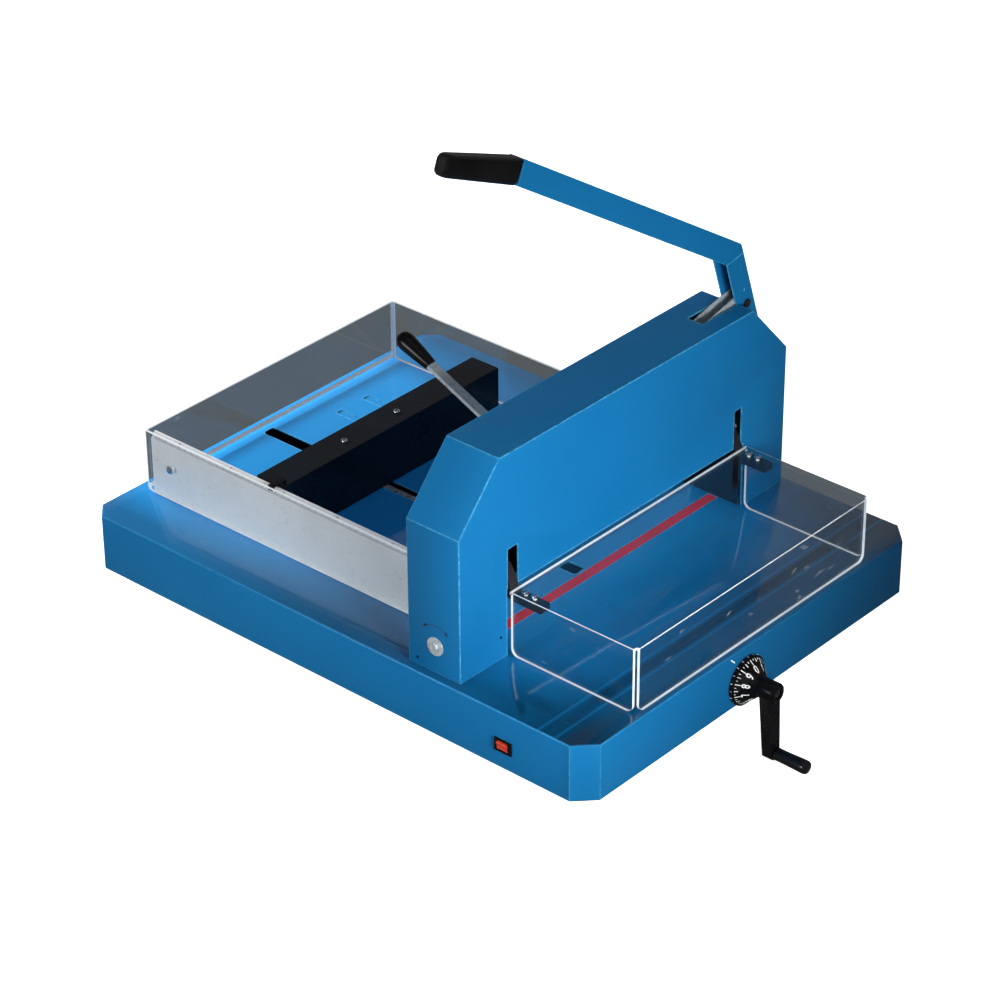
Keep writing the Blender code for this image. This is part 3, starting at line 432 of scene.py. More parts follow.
MATS = {
    "base": blue_paint("paint_base", deep=(0.006, 0.150, 0.375), light=(0.008, 0.178, 0.430),
                       rough=(0.30, 0.42), grain=0.06, edge_radius=0.0024, table=True),
    "head": blue_paint("paint_head", deep=(0.006, 0.142, 0.358), light=(0.008, 0.170, 0.412),
                       rough=(0.36, 0.48), grain=0.16, edge_radius=0.0030),
    "lever": blue_paint("paint_lever", deep=(0.006, 0.145, 0.36), light=(0.008, 0.170, 0.410),
                        rough=(0.32, 0.44), grain=0.14, edge_radius=0.0016),
    "black_paint": black_paint("black_enamel", base=(0.012, 0.012, 0.014), rough=(0.28, 0.42)),
    "fence": black_paint("fence_black", base=(0.004, 0.006, 0.009), rough=(0.18, 0.36)),
    "inside": black_paint("frame_black", base=(0.006, 0.006, 0.007), rough=(0.4, 0.6)),
    "grey_steel": steel("rolled_steel", tone=(0.34, 0.36, 0.38), rough=(0.3, 0.48),
                        grain=(1, 60, 60), bump=0.06, stain=0.35),
    "clamp_steel": steel("ground_clamp_steel", tone=(0.60, 0.62, 0.64), rough=(0.05, 0.12),
                         grain=(1, 80, 80), bump=0.02, stain=0.12),
    "knife_steel": steel("ground_knife_steel", tone=(0.66, 0.67, 0.69), rough=(0.10, 0.2),
                         grain=(70, 70, 1), bump=0.03, stain=0.15),
    "zinc": zinc("zinc_plate"),
    "chrome": chrome("chrome_plate"),
    "black_plastic": plastic("black_moulding", base=(0.0015, 0.0015, 0.002),
                             pale=(0.004, 0.004, 0.005), rough=(0.20, 0.32), grain=0.08,
                             spec=0.22),
    "grip": plastic("grip_moulding", base=(0.0025, 0.0025, 0.003), pale=(0.006, 0.006, 0.007),
                    rough=(0.14, 0.26), grain=0.10, scale=1100.0),
    "red_plastic": plastic("red_button", base=(0.62, 0.030, 0.012), pale=(0.78, 0.07, 0.03),
                           rough=(0.2, 0.3), grain=0.06, coat=0.3),
    "stick": stick_red("cutting_stick_red"),
    "white": white_paint("white_enamel", base=(0.93, 0.935, 0.94)),
    "scale": white_paint("scale_white", base=(0.80, 0.81, 0.84)),
    "rubber": rubber("foot_rubber"),
    "brass": brass("nut_brass"),
    "clear": acrylic("clear_sheet", tint=(0.95, 0.968, 0.975), haze=0.006),
    "edge": sheet_edge("clear_sheet_edge", tone=(0.80, 0.84, 0.86), glow=0.22),
    "bend": sheet_edge("clear_sheet_bend", tone=(0.70, 0.76, 0.80), glow=0.10),
    "mark_white": marking("print_white", ink=(0.82, 0.83, 0.82)),
    "mark_black": marking("print_black", ink=(0.015, 0.016, 0.02)),
}


# ================================================================ geometry tools
def smooth_group():
    """Node group that welds a mesh and shades it smooth up to an edge angle."""
    group = bpy.data.node_groups.new("smooth_by_angle", "GeometryNodeTree")
    for in_out in ("INPUT", "OUTPUT"):
        group.interface.new_socket("Geometry", in_out=in_out,
                                   socket_type="NodeSocketGeometry")
    new, link = group.nodes.new, group.links.new
    source, result = new("NodeGroupInput"), new("NodeGroupOutput")
    weld = new("GeometryNodeMergeByDistance")
    weld.inputs["Distance"].default_value = 1e-6
    faces = new("GeometryNodeSetShadeSmooth")
    faces.domain = "FACE"
    edges = new("GeometryNodeSetShadeSmooth")
    edges.domain = "EDGE"
    edges.inputs["Selection"].default_value = True
    angle = new("GeometryNodeInputMeshEdgeAngle")
    shallow = new("FunctionNodeCompare")
    shallow.data_type = "FLOAT"
    shallow.operation = "LESS_THAN"
    shallow.inputs[1].default_value = math.radians(33)
    link(source.outputs[0], weld.inputs["Geometry"])
    link(weld.outputs["Geometry"], faces.inputs["Geometry"])
    link(faces.outputs["Geometry"], edges.inputs["Geometry"])
    link(angle.outputs["Unsigned Angle"], shallow.inputs[0])
    link(shallow.outputs[0], edges.inputs["Shade Smooth"])
    link(edges.outputs["Geometry"], result.inputs[0])
    return group


SMOOTH = smooth_group()


def soften(obj):
    obj.modifiers.new("smooth_by_angle", "NODES").node_group = SMOOTH


def new_object(bm, name, mats, outward=True):
    """Turns a bmesh into a linked object with the given material slots."""
    if outward:
        bmesh.ops.recalc_face_normals(bm, faces=bm.faces)
    mesh = bpy.data.meshes.new(name)
    bm.to_mesh(mesh)
    bm.free()
    obj = bpy.data.objects.new(name, mesh)
    scene.collection.objects.link(obj)
    for mat in mats:
        mesh.materials.append(mat)
    return obj


def hand_over(obj, body, replaced=None, smooth=True):
    """Finishes a piece: shading, the body it moves with, the node it replaces."""
    if smooth:
        soften(obj)
    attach(obj, body)
    if replaced:
        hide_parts(replaced)


def skin(bm, rows):
    """Closed tube through rows of vertices, capped at both ends."""
    count = len(rows[0])
    for low, high in zip(rows, rows[1:]):
        for k in range(count):
            after = (k + 1) % count
            bm.faces.new((low[k], high[k], high[after], low[after]))
    bm.faces.new(rows[0])
    bm.faces.new(rows[-1][::-1])


def add_turned(bm, profile, matrix, steps):
    """Turned solid from a (radius, height) profile in mm that starts and ends on the axis."""
    rows = []
    for radius, height in profile:
        angles = [2 * math.pi * k / steps for k in range(steps)] if radius > 1e-6 else [0.0]
        rows.append([bm.verts.new(matrix @ Vector((radius * MM * math.cos(angle),
                                                   radius * MM * math.sin(angle), height * MM)))
                     for angle in angles])
    for low, high in zip(rows, rows[1:]):
        for k in range(steps):
            after = (k + 1) % steps
            if len(low) == 1:
                bm.faces.new((low[0], high[k], high[after]))
            elif len(high) == 1:
                bm.faces.new((low[k], high[0], low[after]))
            else:
                bm.faces.new((low[k], high[k], high[after], low[after]))


def add_cylinder(bm, radius, bottom, top, matrix, steps):
    add_turned(bm, [(0, bottom), (radius, bottom), (radius, top), (0, top)], matrix, steps)


FACING = {"+X": Matrix.Rotation(math.pi / 2, 4, "Y"), "-X": Matrix.Rotation(-math.pi / 2, 4, "Y"),
          "-Y": Matrix.Rotation(math.pi / 2, 4, "X")}


def facing(direction, position):
    """Matrix that takes local +Z to the direction, at a position in mm."""
    return Matrix.Translation(Vector(position) * MM) @ FACING[direction]


def on_xy(u, v, w):
    return u, v, w


def on_xz(u, v, w):
    return u, w, v


def on_yz(u, v, w):
    return w, u, v


def add_prism(bm, outline, place, start, end):
    """Closed prism from a 2D outline; place(u, v, w) gives the 3D point in mm."""
    low = [bm.verts.new(Vector(place(u, v, start)) * MM) for u, v in outline]
    high = [bm.verts.new(Vector(place(u, v, end)) * MM) for u, v in outline]
    bm.faces.new(low)
    bm.faces.new(high[::-1])
    count = len(outline)
    for k in range(count):
        after = (k + 1) % count
        bm.faces.new((low[after], low[k], high[k], high[after]))


def prism(name, mats, outline, place, start, end):
    bm = bmesh.new()
    add_prism(bm, outline, place, start, end)
    return new_object(bm, name, mats)


def rounded(points, radii, steps):
    """Outline with corner k rounded to radii[k]; a zero radius keeps the corner."""
    outline = []
    for k, radius in enumerate(radii):
        corner = Vector(points[k])
        if radius <= 0:
            outline.append(tuple(corner))
            continue
        back = (Vector(points[k - 1]) - corner).normalized()
        ahead = (Vector(points[(k + 1) % len(points)]) - corner).normalized()
        half = back.angle(ahead) / 2.0
        centre = corner + (back + ahead).normalized() * (radius / math.sin(half))
        start = corner + back * (radius / math.tan(half)) - centre
        end = corner + ahead * (radius / math.tan(half)) - centre
        sweep = start.angle(end)
        sign = 1.0 if start.x * end.y - start.y * end.x > 0 else -1.0
        for step in range(steps + 1):
            turn = sign * sweep * step / steps
            cos, sin = math.cos(turn), math.sin(turn)
            outline.append((centre.x + start.x * cos - start.y * sin,
                            centre.y + start.x * sin + start.y * cos))
    return outline


def apply_modifiers(obj):
    bpy.context.view_layer.update()
    graph = bpy.context.evaluated_depsgraph_get()
    mesh = bpy.data.meshes.new_from_object(obj.evaluated_get(graph))
    old_mesh = obj.data
    obj.modifiers.clear()
    obj.data = mesh
    bpy.data.meshes.remove(old_mesh)


def boolean(obj, other, operation):
    """Applies a boolean with another object, which is used up."""
    mod = obj.modifiers.new(operation, "BOOLEAN")
    mod.operation = operation
    mod.solver = "EXACT"
    mod.object = other
    apply_modifiers(obj)
    bpy.data.objects.remove(other, do_unlink=True)


def drill(obj, mat, radius, bottom, top, matrix, steps):
    bm = bmesh.new()
    add_cylinder(bm, radius, bottom, top, matrix, steps)
    boolean(obj, new_object(bm, "drill", [mat]), "DIFFERENCE")


# ================================================================ materials of the CAD nodes
LOOKS = {  # material: CAD nodes that wear it
    "base": "base_housing",
    "head": "head_cover",
    "lever": "lever_arm",
    "rubber": "foot_front_left foot_front_right foot_rear_left foot_rear_right",
    "inside": "side_frame_left side_frame_right guide_beam knife_carrier",
    "grey_steel": "bottom_plate rear_beam lever_pedestal lead_screw_bearing_front "
                  "lead_screw_bearing_rear clamp_bearing_left clamp_bearing_right",
    "stick": "cutting_stick",
    "white": "light_bar side_rail_left",
    "scale": "ruler_strip",
    "zinc": "guard_hinge_pin_left guard_hinge_pin_right depth_disc depth_bolt drive_link "
            "knife_bolt_2 clamp_shaft clamp_lever_bar lead_screw gauge_tongue",
    "chrome": "guard_knob guard_screw_left_1 guard_screw_left_2 guard_screw_right_1 "
              "guard_screw_right_2 crank_pin gauge_screw_1 gauge_screw_2",
    "mark_white": "index_mark",
    "black_plastic": "switch_bezel clamp_lever_grip crank_dial crank_arm gauge_pointer",
    "red_plastic": "switch_rocker",
    "grip": "lever_grip crank_grip",
    "black_paint": "link_pin knife_bolt_1 guard_bracket_left guard_bracket_right",
    "knife_steel": "knife_blade",
    "clamp_steel": "clamp_bar",
    "fence": "gauge_fence",
    "brass": "gauge_nut",
}


def dress_nodes():
    for look, nodes in LOOKS.items():
        for node in nodes.split():
            obj = frame["nodes"][node]
            obj.data.materials.clear()
            obj.data.materials.append(MATS[look])
            soften(obj)


# ================================================================ clear sheets
SHEET = 4.0                                                # thickness of both guards
SHEET_MATS = [MATS["clear"], MATS["edge"], MATS["bend"]]
CLEAR, EDGE, BEND = range(3)                               # slots in SHEET_MATS
LID_SCREWS = [f"guard_screw_{side}_{k}" for side in ("left", "right") for k in (1, 2)]


def mark_faces(obj, is_broad):
    """Broad faces of a sheet stay clear; all others are sawn edge."""
    for face in obj.data.polygons:
        face.material_index = CLEAR if is_broad(face.center / MM, face.normal) else EDGE


def round_bends(obj, on_bend, width, steps):
    """Rounds sharp edges whose two end points, in mm, pass the on_bend test."""
    bm = bmesh.new()
    bm.from_mesh(obj.data)
    bmesh.ops.remove_doubles(bm, verts=bm.verts, dist=1e-6)
    bends = [e for e in bm.edges
             if on_bend(e.verts[0].co / MM, e.verts[1].co / MM) and e.calc_face_angle(0) > 0.5]
    result = bmesh.ops.bevel(bm, geom=bends, offset=width * MM, segments=steps, profile=0.5,
                             affect="EDGES", clamp_overlap=True)
    for face in result["faces"]:
        face.material_index = BEND
    bm.to_mesh(obj.data)
    bm.free()


def front_lid():
    """Top panel with flaps down at the left, right and front, drilled for its screws."""
    lid = Box("front_guard_lid")
    side_start = lid.y0 + 5.2             # front end of the side flaps
    side_end = lid.y1 - 2
    left, right = lid.x0 + 7, lid.x1 - 7  # ends of the front flap
    flap_top = lid.z1 - 1                 # flaps end inside the top panel
    relief_x, relief_y = 5.0, 3.6         # corner chamfers between the flaps
    radii = [11, 11, 0, 0]                # lower flap corners are rounded
    side = rounded([(side_start, lid.z0), (side_end, lid.z0 + 1),
                    (side_end, flap_top), (side_start, flap_top)], radii, steps=8)
    front = rounded([(left, lid.z0), (right, lid.z0), (right, flap_top), (left, flap_top)],
                    radii, steps=8)
    top = [(lid.x0, side_start), (lid.x0 + relief_x, side_start), (left, lid.y0 + relief_y),
           (left, lid.y0), (right, lid.y0), (right, lid.y0 + relief_y),
           (lid.x1 - relief_x, side_start), (lid.x1, side_start),
           (lid.x1, lid.y1), (lid.x0, lid.y1)]
    parts = [(top, on_xy, lid.z1 - SHEET, lid.z1), (side, on_yz, lid.x0, lid.x0 + SHEET),
             (side, on_yz, lid.x1 - SHEET, lid.x1), (front, on_xz, lid.y0, lid.y0 + SHEET)]
    name = "front_guard_lid_clear"
    obj, *flaps = [prism(f"{name}_part{k}", SHEET_MATS, *part) for k, part in enumerate(parts)]
    for flap in flaps:
        boolean(obj, flap, "UNION")
    for node in LID_SCREWS:
        screw = Box(node)
        drill(obj, MATS["edge"], radius=2.4, bottom=-12, top=6, steps=24,
              matrix=Matrix.Translation(Vector((screw.x, screw.y, lid.z1)) * MM))
    obj.name = name

    def is_broad(centre, normal):
        if abs(normal.z) > 0.98:
            in_left_flap = centre.x < lid.x0 + SHEET - 0.2 and centre.z < lid.z1 - 1
            return centre.z > lid.z1 - SHEET - 0.3 and not in_left_flap
        if abs(normal.x) > 0.98:
            on_flap = centre.x < lid.x0 + SHEET + 0.3 or centre.x > lid.x1 - SHEET - 0.3
            return on_flap and centre.y > lid.y0 + SHEET + 0.5
        if abs(normal.y) > 0.98:
            return centre.y < lid.y0 + SHEET + 0.3 and left + 0.5 < centre.x < right - 0.5
        return False

    def on_bend(start, end):
        def both(axis, value):
            return all(abs(getattr(p, axis) - value) < 0.05 for p in (start, end))
        return both("z", lid.z1) and (both("x", lid.x0) or both("x", lid.x1)
                                      or both("y", lid.y0))

    mark_faces(obj, is_broad)
    round_bends(obj, on_bend, width=2.0, steps=4)
    hand_over(obj, "front_guard", "front_guard_lid")


def rear_guard():
    """U-shaped sheet, open to the front, with a bore for the knob in its left wall."""
    guard, knob = Box("rear_guard"), Box("guard_knob")
    x0, x1, y0, y1 = guard.x0, guard.x1, guard.y0, guard.y1
    inner = 2            # chamfer inside the bends
    reach, cut = 5, 1.5  # outer bends: run along each wall, inset of the middle point
    outline = [(x0, y0), (x0 + SHEET, y0),
               (x0 + SHEET, y1 - SHEET - inner), (x0 + SHEET + inner, y1 - SHEET),
               (x1 - SHEET - inner, y1 - SHEET), (x1 - SHEET, y1 - SHEET - inner),
               (x1 - SHEET, y0), (x1, y0),
               (x1, y1 - reach), (x1 - cut, y1 - cut), (x1 - reach, y1),
               (x0 + reach, y1), (x0 + cut, y1 - cut), (x0, y1 - reach)]
    obj = prism("rear_guard_clear", SHEET_MATS, outline, on_xy, guard.z0, guard.z1)
    # side view: only the lower rear corner touches the sheet, the rest stands clear of it
    side = rounded([(y0 - 12, guard.z0 - 3), (y1 + 0.5, guard.z0), (y1 + 0.5, guard.z1 + 5),
                    (y0 - 12, guard.z1 + 5)], [0, 12, 0, 0], steps=8)
    boolean(obj, prism("side_view", [MATS["edge"]], side, on_yz, x0 - 20, x1 + 20), "INTERSECT")
    drill(obj, MATS["edge"], radius=3.6, bottom=-8, top=12, steps=24,
          matrix=facing("+X", (x0, knob.y, knob.z)))

    def is_broad(centre, normal):
        if abs(normal.x) > 0.95:
            return centre.x < x0 + SHEET + 0.4 or centre.x > x1 - SHEET - 0.4
        return abs(normal.y) > 0.95 and centre.y > y1 - SHEET - 0.4

    mark_faces(obj, is_broad)
    for face in obj.data.polygons:
        normal = face.normal
        if abs(normal.z) < 0.2 and 0.2 < abs(normal.x) < 0.94 and abs(normal.y) > 0.2:
            face.material_index = BEND
    hand_over(obj, "frame", "rear_guard")


# ================================================================ printed marks
# Pen strokes of each digit, as (x, y) points in a cell 0.6 wide and 1 high
STROKES = {
    "0": [[(0.2, 0), (0, 0.2), (0, 0.8), (0.2, 1), (0.4, 1), (0.6, 0.8), (0.6, 0.2), (0.4, 0),
           (0.2, 0)]],
    "1": [[(0.1, 0.78), (0.32, 1), (0.32, 0)]],
    "2": [[(0, 0.8), (0.15, 1), (0.45, 1), (0.6, 0.82), (0.6, 0.65), (0, 0), (0.6, 0)]],
    "3": [[(0, 0.88), (0.15, 1), (0.45, 1), (0.6, 0.85), (0.6, 0.67), (0.42, 0.54),
           (0.22, 0.54)],
          [(0.42, 0.54), (0.6, 0.4), (0.6, 0.17), (0.42, 0), (0.15, 0), (0, 0.12)]],
    "4": [[(0.42, 0), (0.42, 1), (0, 0.3), (0.62, 0.3)]],
    "5": [[(0.58, 1), (0.08, 1), (0.03, 0.55), (0.36, 0.62), (0.6, 0.45), (0.6, 0.2),
           (0.42, 0), (0.15, 0), (0, 0.13)]],
    "6": [[(0.52, 1), (0.2, 0.86), (0.02, 0.5), (0.02, 0.2), (0.18, 0), (0.42, 0),
           (0.6, 0.17), (0.6, 0.4), (0.42, 0.56), (0.18, 0.56), (0.02, 0.4)]],
    "7": [[(0, 1), (0.6, 1), (0.22, 0)]],
    "8": [[(0.2, 0.54), (0.03, 0.68), (0.03, 0.87), (0.18, 1), (0.42, 1), (0.57, 0.87),
           (0.57, 0.68), (0.4, 0.54), (0.2, 0.54), (0, 0.38), (0, 0.16), (0.18, 0),
           (0.42, 0), (0.6, 0.16), (0.6, 0.38), (0.4, 0.54)]],
    "9": [[(0.1, 0), (0.4, 0.14), (0.58, 0.5), (0.58, 0.8), (0.42, 1), (0.18, 1), (0, 0.83),
           (0, 0.6), (0.18, 0.44), (0.42, 0.44), (0.58, 0.6)]],
}
SUNK = -0.05  # lift of the underside of every mark


def text_strokes(text, size):
    """Straight strokes of a number in mm: start x, y and end x, y, centred on x = 0."""
    x = -(size * 0.6 * len(text) + size * 0.3 * (len(text) - 1)) / 2
    for digit in text:
        for line in STROKES[digit]:
            for p, q in zip(line, line[1:]):
                yield x + p[0] * size, p[1] * size, x + q[0] * size, q[1] * size
        x += size * 0.9


def add_bar(bm, start, end, width, surface, lift, steps):
    """Thin raised bar between (u, v) points; surface(u, v, lift) gives the 3D point in mm."""
    start, end = Vector(start), Vector(end)
    run = end - start
    across = Vector((-run.y, run.x)).normalized() * (width / 2)
    rows = []
    for k in range(steps + 1):
        c = start + run * (k / steps)
        rows.append([bm.verts.new(Vector(surface(c.x + s * across.x, c.y + s * across.y, h)) * MM)
                     for s, h in ((1, SUNK), (1, lift), (-1, lift), (-1, SUNK))])
    skin(bm, rows)


def hand_over_print(bm, name, look, body):
    hand_over(new_object(bm, name, [MATS[look]]), body, smooth=False)


DIAL = Box("crank_dial")
CONE_INNER = (14.6, 25.6)  # radius, and depth in front of the dial's back face
CONE_OUTER = (33.2, 5.6)


def dial_cone(angle, radius, lift):
    """Point on the cone; the angle in degrees runs clockwise from the top, seen from -Y."""
    turn = math.radians(angle)
    t = (radius - CONE_INNER[0]) / (CONE_OUTER[0] - CONE_INNER[0])
    y = DIAL.y1 - (CONE_INNER[1] + (CONE_OUTER[1] - CONE_INNER[1]) * t) - lift * 0.70
    r = radius + lift * 0.72
    return DIAL.x + r * math.sin(turn), y, DIAL.z + r * math.cos(turn)


def dial_rim(angle, depth, lift):
    """Point on the cylindrical rim, at a depth in front of the dial's back face."""
    turn = math.radians(angle)
    r = (DIAL.x1 - DIAL.x0) / 2 + lift
    return DIAL.x + r * math.sin(turn), DIAL.y1 - depth, DIAL.z + r * math.cos(turn)


def dial_marks():
    # each mark: surface, start, end, width in degrees
    main = [(dial_cone, 27.4, 32.9, 2.2), (dial_rim, 1.0, 3.9, 1.8)]
    half = [(dial_cone, 29.2, 32.9, 1.7), (dial_rim, 1.4, 3.9, 1.2)]
    minor = [(dial_cone, 31.0, 32.9, 1.2)]
    bm = bmesh.new()
    for k in range(40):
        angle = k * 9.0
        for surface, start, end, width in (main, minor, half, minor)[k % 4]:
            add_bar(bm, (angle, start), (angle, end), width, surface, lift=0.12, steps=2)
    hand_over_print(bm, "dial_graduations", "mark_white", "crank")

    size, foot = 6.6, 19.6  # digit height, radius at the digits' feet
    middle = foot + size / 2
    bm = bmesh.new()
    for k in range(10):
        along = math.radians(k * 36.0) * middle
        for px, py, qx, qy in text_strokes(str(k), size):
            add_bar(bm, (along + px, foot + py), (along + qx, foot + qy), width=1.35,
                    surface=lambda u, v, h: dial_cone(math.degrees(u / middle), v, h),
                    lift=0.10, steps=2)
    hand_over_print(bm, "dial_digits", "mark_white", "crank")


def scale_marks():
    """Graduations on the ruler's sloping face; the figures read from the -X side."""
    ruler = Box("ruler_strip")
    slope = Vector((7.4, 9.6)).normalized()  # up the face, in (x, z)
    outward = Vector((-slope.y, slope.x))
    foot = Vector((ruler.x0, ruler.z0 + outward.y * 0.5))

    def face(up_slope, y, lift):
        p = foot + slope * up_slope + outward * lift
        return p.x, y, p.y

    first_y = ruler.y0 + 4.0
    tick_foot, tick_pitch = 0.35, 2.5
    figure_foot, figure_size, figure_pitch = 6.3, 3.0, 100.0
    bm = bmesh.new()
    y, k = first_y, 0
    while y < ruler.y1 - 3.0:
        length = 5.6 if k % 10 == 0 else (4.2 if k % 5 == 0 else 2.6)
        add_bar(bm, (tick_foot, y), (tick_foot + length, y), 0.75 if k % 5 == 0 else 0.5,
                face, lift=0.07, steps=1)
        y += tick_pitch
        k += 1
    y, centimetres = first_y + figure_pitch, 10
    while y < ruler.y1 - 8.0:
        for px, py, qx, qy in text_strokes(str(centimetres), figure_size):
            add_bar(bm, (figure_foot + py, y - px), (figure_foot + qy, y - qx), width=0.42,
                    surface=face, lift=0.07, steps=1)
        y += figure_pitch
        centimetres += 10
    hand_over_print(bm, "scale_graduations", "mark_black", "frame")


def head_details():
    """Double arrow and plugs on the head, and a black disc at the floor of the bolt's hex socket
    as painted shade.
    """
    head, disc, bolt = Box("head_cover"), Box("depth_disc"), Box("depth_bolt")

    def left_side(u, v, lift):
        """u is Y and v is Z."""
        return head.x0 - lift, u, v

    radius, lift = 31.0, 0.08
    head_length, head_half_width = 7.5, 2.6

    def on_arc(degrees):
        turn = math.radians(degrees)
        return disc.y + radius * math.sin(turn), disc.z + radius * math.cos(turn)

    bm = bmesh.new()
    points = [on_arc(degrees) for degrees in range(-40, 41, 5)]
    for start, end in zip(points, points[1:]):
        add_bar(bm, start, end, width=0.9, surface=left_side, lift=lift, steps=1)
    lean = math.radians(43)  # slope of the arrow heads
    for side in (-1, 1):
        tip = Vector(on_arc(46 * side))
        ahead = Vector((math.cos(lean) * side, -math.sin(lean)))
        across = Vector((-ahead.y, ahead.x)) * head_half_width
        back = tip - ahead * head_length
        add_prism(bm, [tip, back + across, back - across], left_side, SUNK, lift)
    hand_over_print(bm, "adjuster_arrow", "mark_black", "frame")

    dome = [(0, -0.4), (2.1, -0.4), (2.1, 0.25), (1.7, 0.7), (0.8, 1.0), (0, 1.05)]
    bm = bmesh.new()
    add_turned(bm, dome, facing("-X", (head.x0, disc.y + 32, disc.z - 30)), steps=20)
    add_turned(bm, dome, facing("-Y", (-259.0, head.y0, 123.0)), steps=20)
    hand_over(new_object(bm, "head_plugs", [MATS["black_plastic"]]), "frame")

    # painted shade: black disc at the floor of the hex socket
    bm = bmesh.new()
    add_cylinder(bm, radius=3.36, bottom=0.0, top=0.25, steps=6,
                 matrix=facing("-X", (bolt.x0 + 2.9, disc.y, disc.z)))
    hand_over_print(bm, "adjuster_socket_floor", "inside", "depth_adjuster")


# ================================================================ weld at the lever's elbow
def lever_pivot():
    """Pivot of the cutting lever in (x, z)."""
    joints = {joint["name"]: joint for joint in frame["joints"]}
    swing = joints["cutting_lever_swing"]
    # guards against a joint whose position is missing or stored in another form
    try:
        position = swing.get("pos_m") or swing.get("pos")
        return Vector((position[0] / MM, position[2] / MM))
    except (TypeError, KeyError, IndexError):
        return Vector((293.0, 338.0))


def add_bead(bm, points, chance, radius=0.95, sides=8, uneven=0.25):
    """Closed sweep of uneven radius along points in mm that lie in one XZ plane."""
    rows = []
    last = len(points) - 1
    for k, point in enumerate(points):
        tangent = (points[min(last, k + 1)] - points[max(0, k - 1)]).normalized()
        side = tangent.cross(Vector((0, 1, 0))).normalized()
        up = tangent.cross(side).normalized()
        r = radius * (1 + uneven * math.sin(k * 2.1) + chance.uniform(-uneven, uneven) * 0.5)
        if k in (0, last):
            r *= 0.4
        angles = [2 * math.pi * j / sides for j in range(sides)]
        rows.append([bm.verts.new((point + (side * math.cos(a) + up * math.sin(a)) * r) * MM)
                     for a in angles])
    skin(bm, rows)


def elbow_weld():
    """A bead across the elbow on each side of the lever arm."""
    arm = Box("lever_arm")
    arm_width, leg_width = 34.3, 36.0
    arm_run = Vector((437.0, -281.6)).normalized()  # directions in (x, z)
    leg_run = Vector((40.0, -119.0)).normalized()
    arm_across = Vector((arm_run.y, -arm_run.x))
    leg_across = Vector((leg_run.y, -leg_run.x))
    outer = lever_pivot() + Vector((-26.2, 142.1))
    # inner corner: where the inner edges of arm and leg cross
    arm_edge = outer + arm_across * arm_width
    leg_edge = outer + leg_across * leg_width
    gap = leg_edge - arm_edge
    along = ((gap.x * leg_run.y - gap.y * leg_run.x)
             / (arm_run.x * leg_run.y - arm_run.y * leg_run.x))
    inner = arm_edge + arm_run * along

    start = outer + leg_run * 15.0 + leg_across * 1.5
    end = inner - (inner - start).normalized() * 1.0
    chance = random.Random(7)
    steps = 26
    bm = bmesh.new()
    for y in (arm.y0 - 0.1, arm.y1 + 0.1):
        add_bead(bm, [Vector((start.x + (end.x - start.x) * k / steps, y,
                              start.y + (end.y - start.y) * k / steps))
                      for k in range(steps + 1)], chance)
    hand_over(new_object(bm, "elbow_weld", [MATS["lever"]]), "cutting_lever")


# ================================================================ cross-recessed screws
def cross_screw(node, body, seat, turn):
    """Domed screw on a seat height in mm, its cross turned by some degrees about Z."""
    screw = Box(node)
    radius = (screw.x1 - screw.x0) / 2
    top = screw.z1
    rise = top - seat
    axis = (Matrix.Translation(Vector((screw.x, screw.y, 0)) * MM)
            @ Matrix.Rotation(math.radians(turn), 4, "Z"))
    shank, head_foot = 2.0, seat + 0.3
    profile = [(0, screw.z0), (shank, screw.z0), (shank, head_foot), (radius, head_foot),
               (radius, head_foot + rise * 0.28), (radius * 0.9, seat + rise * 0.62),
               (radius * 0.62, seat + rise * 0.9), (radius * 0.3, top - 0.02), (0, top)]
    bm = bmesh.new()
    add_turned(bm, profile, axis, steps=28)
    # the cross recess takes the black material: painted shade on its walls and floor
    obj = new_object(bm, node + "_recessed", [MATS["chrome"], MATS["inside"]])
    # tapered slot: half length, half width, height of its floor and of its mouth
    levels = ((radius * 0.2, 0.4, top - rise * 0.8), (radius * 0.66, 0.65, top + 0.8))
    for quarter in (0, 1):
        turned = axis @ Matrix.Rotation(math.pi / 2 * quarter, 4, "Z")
        bm = bmesh.new()
        low, high = [[bm.verts.new(turned @ (Vector((sx * length, sy * width, z)) * MM))
                      for sx, sy in ((-1, -1), (1, -1), (1, 1), (-1, 1))]
                     for length, width, z in levels]
        bm.faces.new(low)
        bm.faces.new(high)
        for k in range(4):
            after = (k + 1) % 4
            bm.faces.new((low[k], low[after], high[after], high[k]))
        boolean(obj, new_object(bm, "slot_cutter", [MATS["inside"]]), "DIFFERENCE")
    hand_over(obj, body, node)


def cross_screws():
    lid_top = Box("front_guard_lid").z1
    for k, node in enumerate(LID_SCREWS):
        cross_screw(node, "front_guard", lid_top, turn=20 + 37 * k)
    fence_top = Box("gauge_fence").z1
    for k, node in enumerate(("gauge_screw_1", "gauge_screw_2")):
        cross_screw(node, "back_gauge", fence_top, turn=12 + 50 * k)


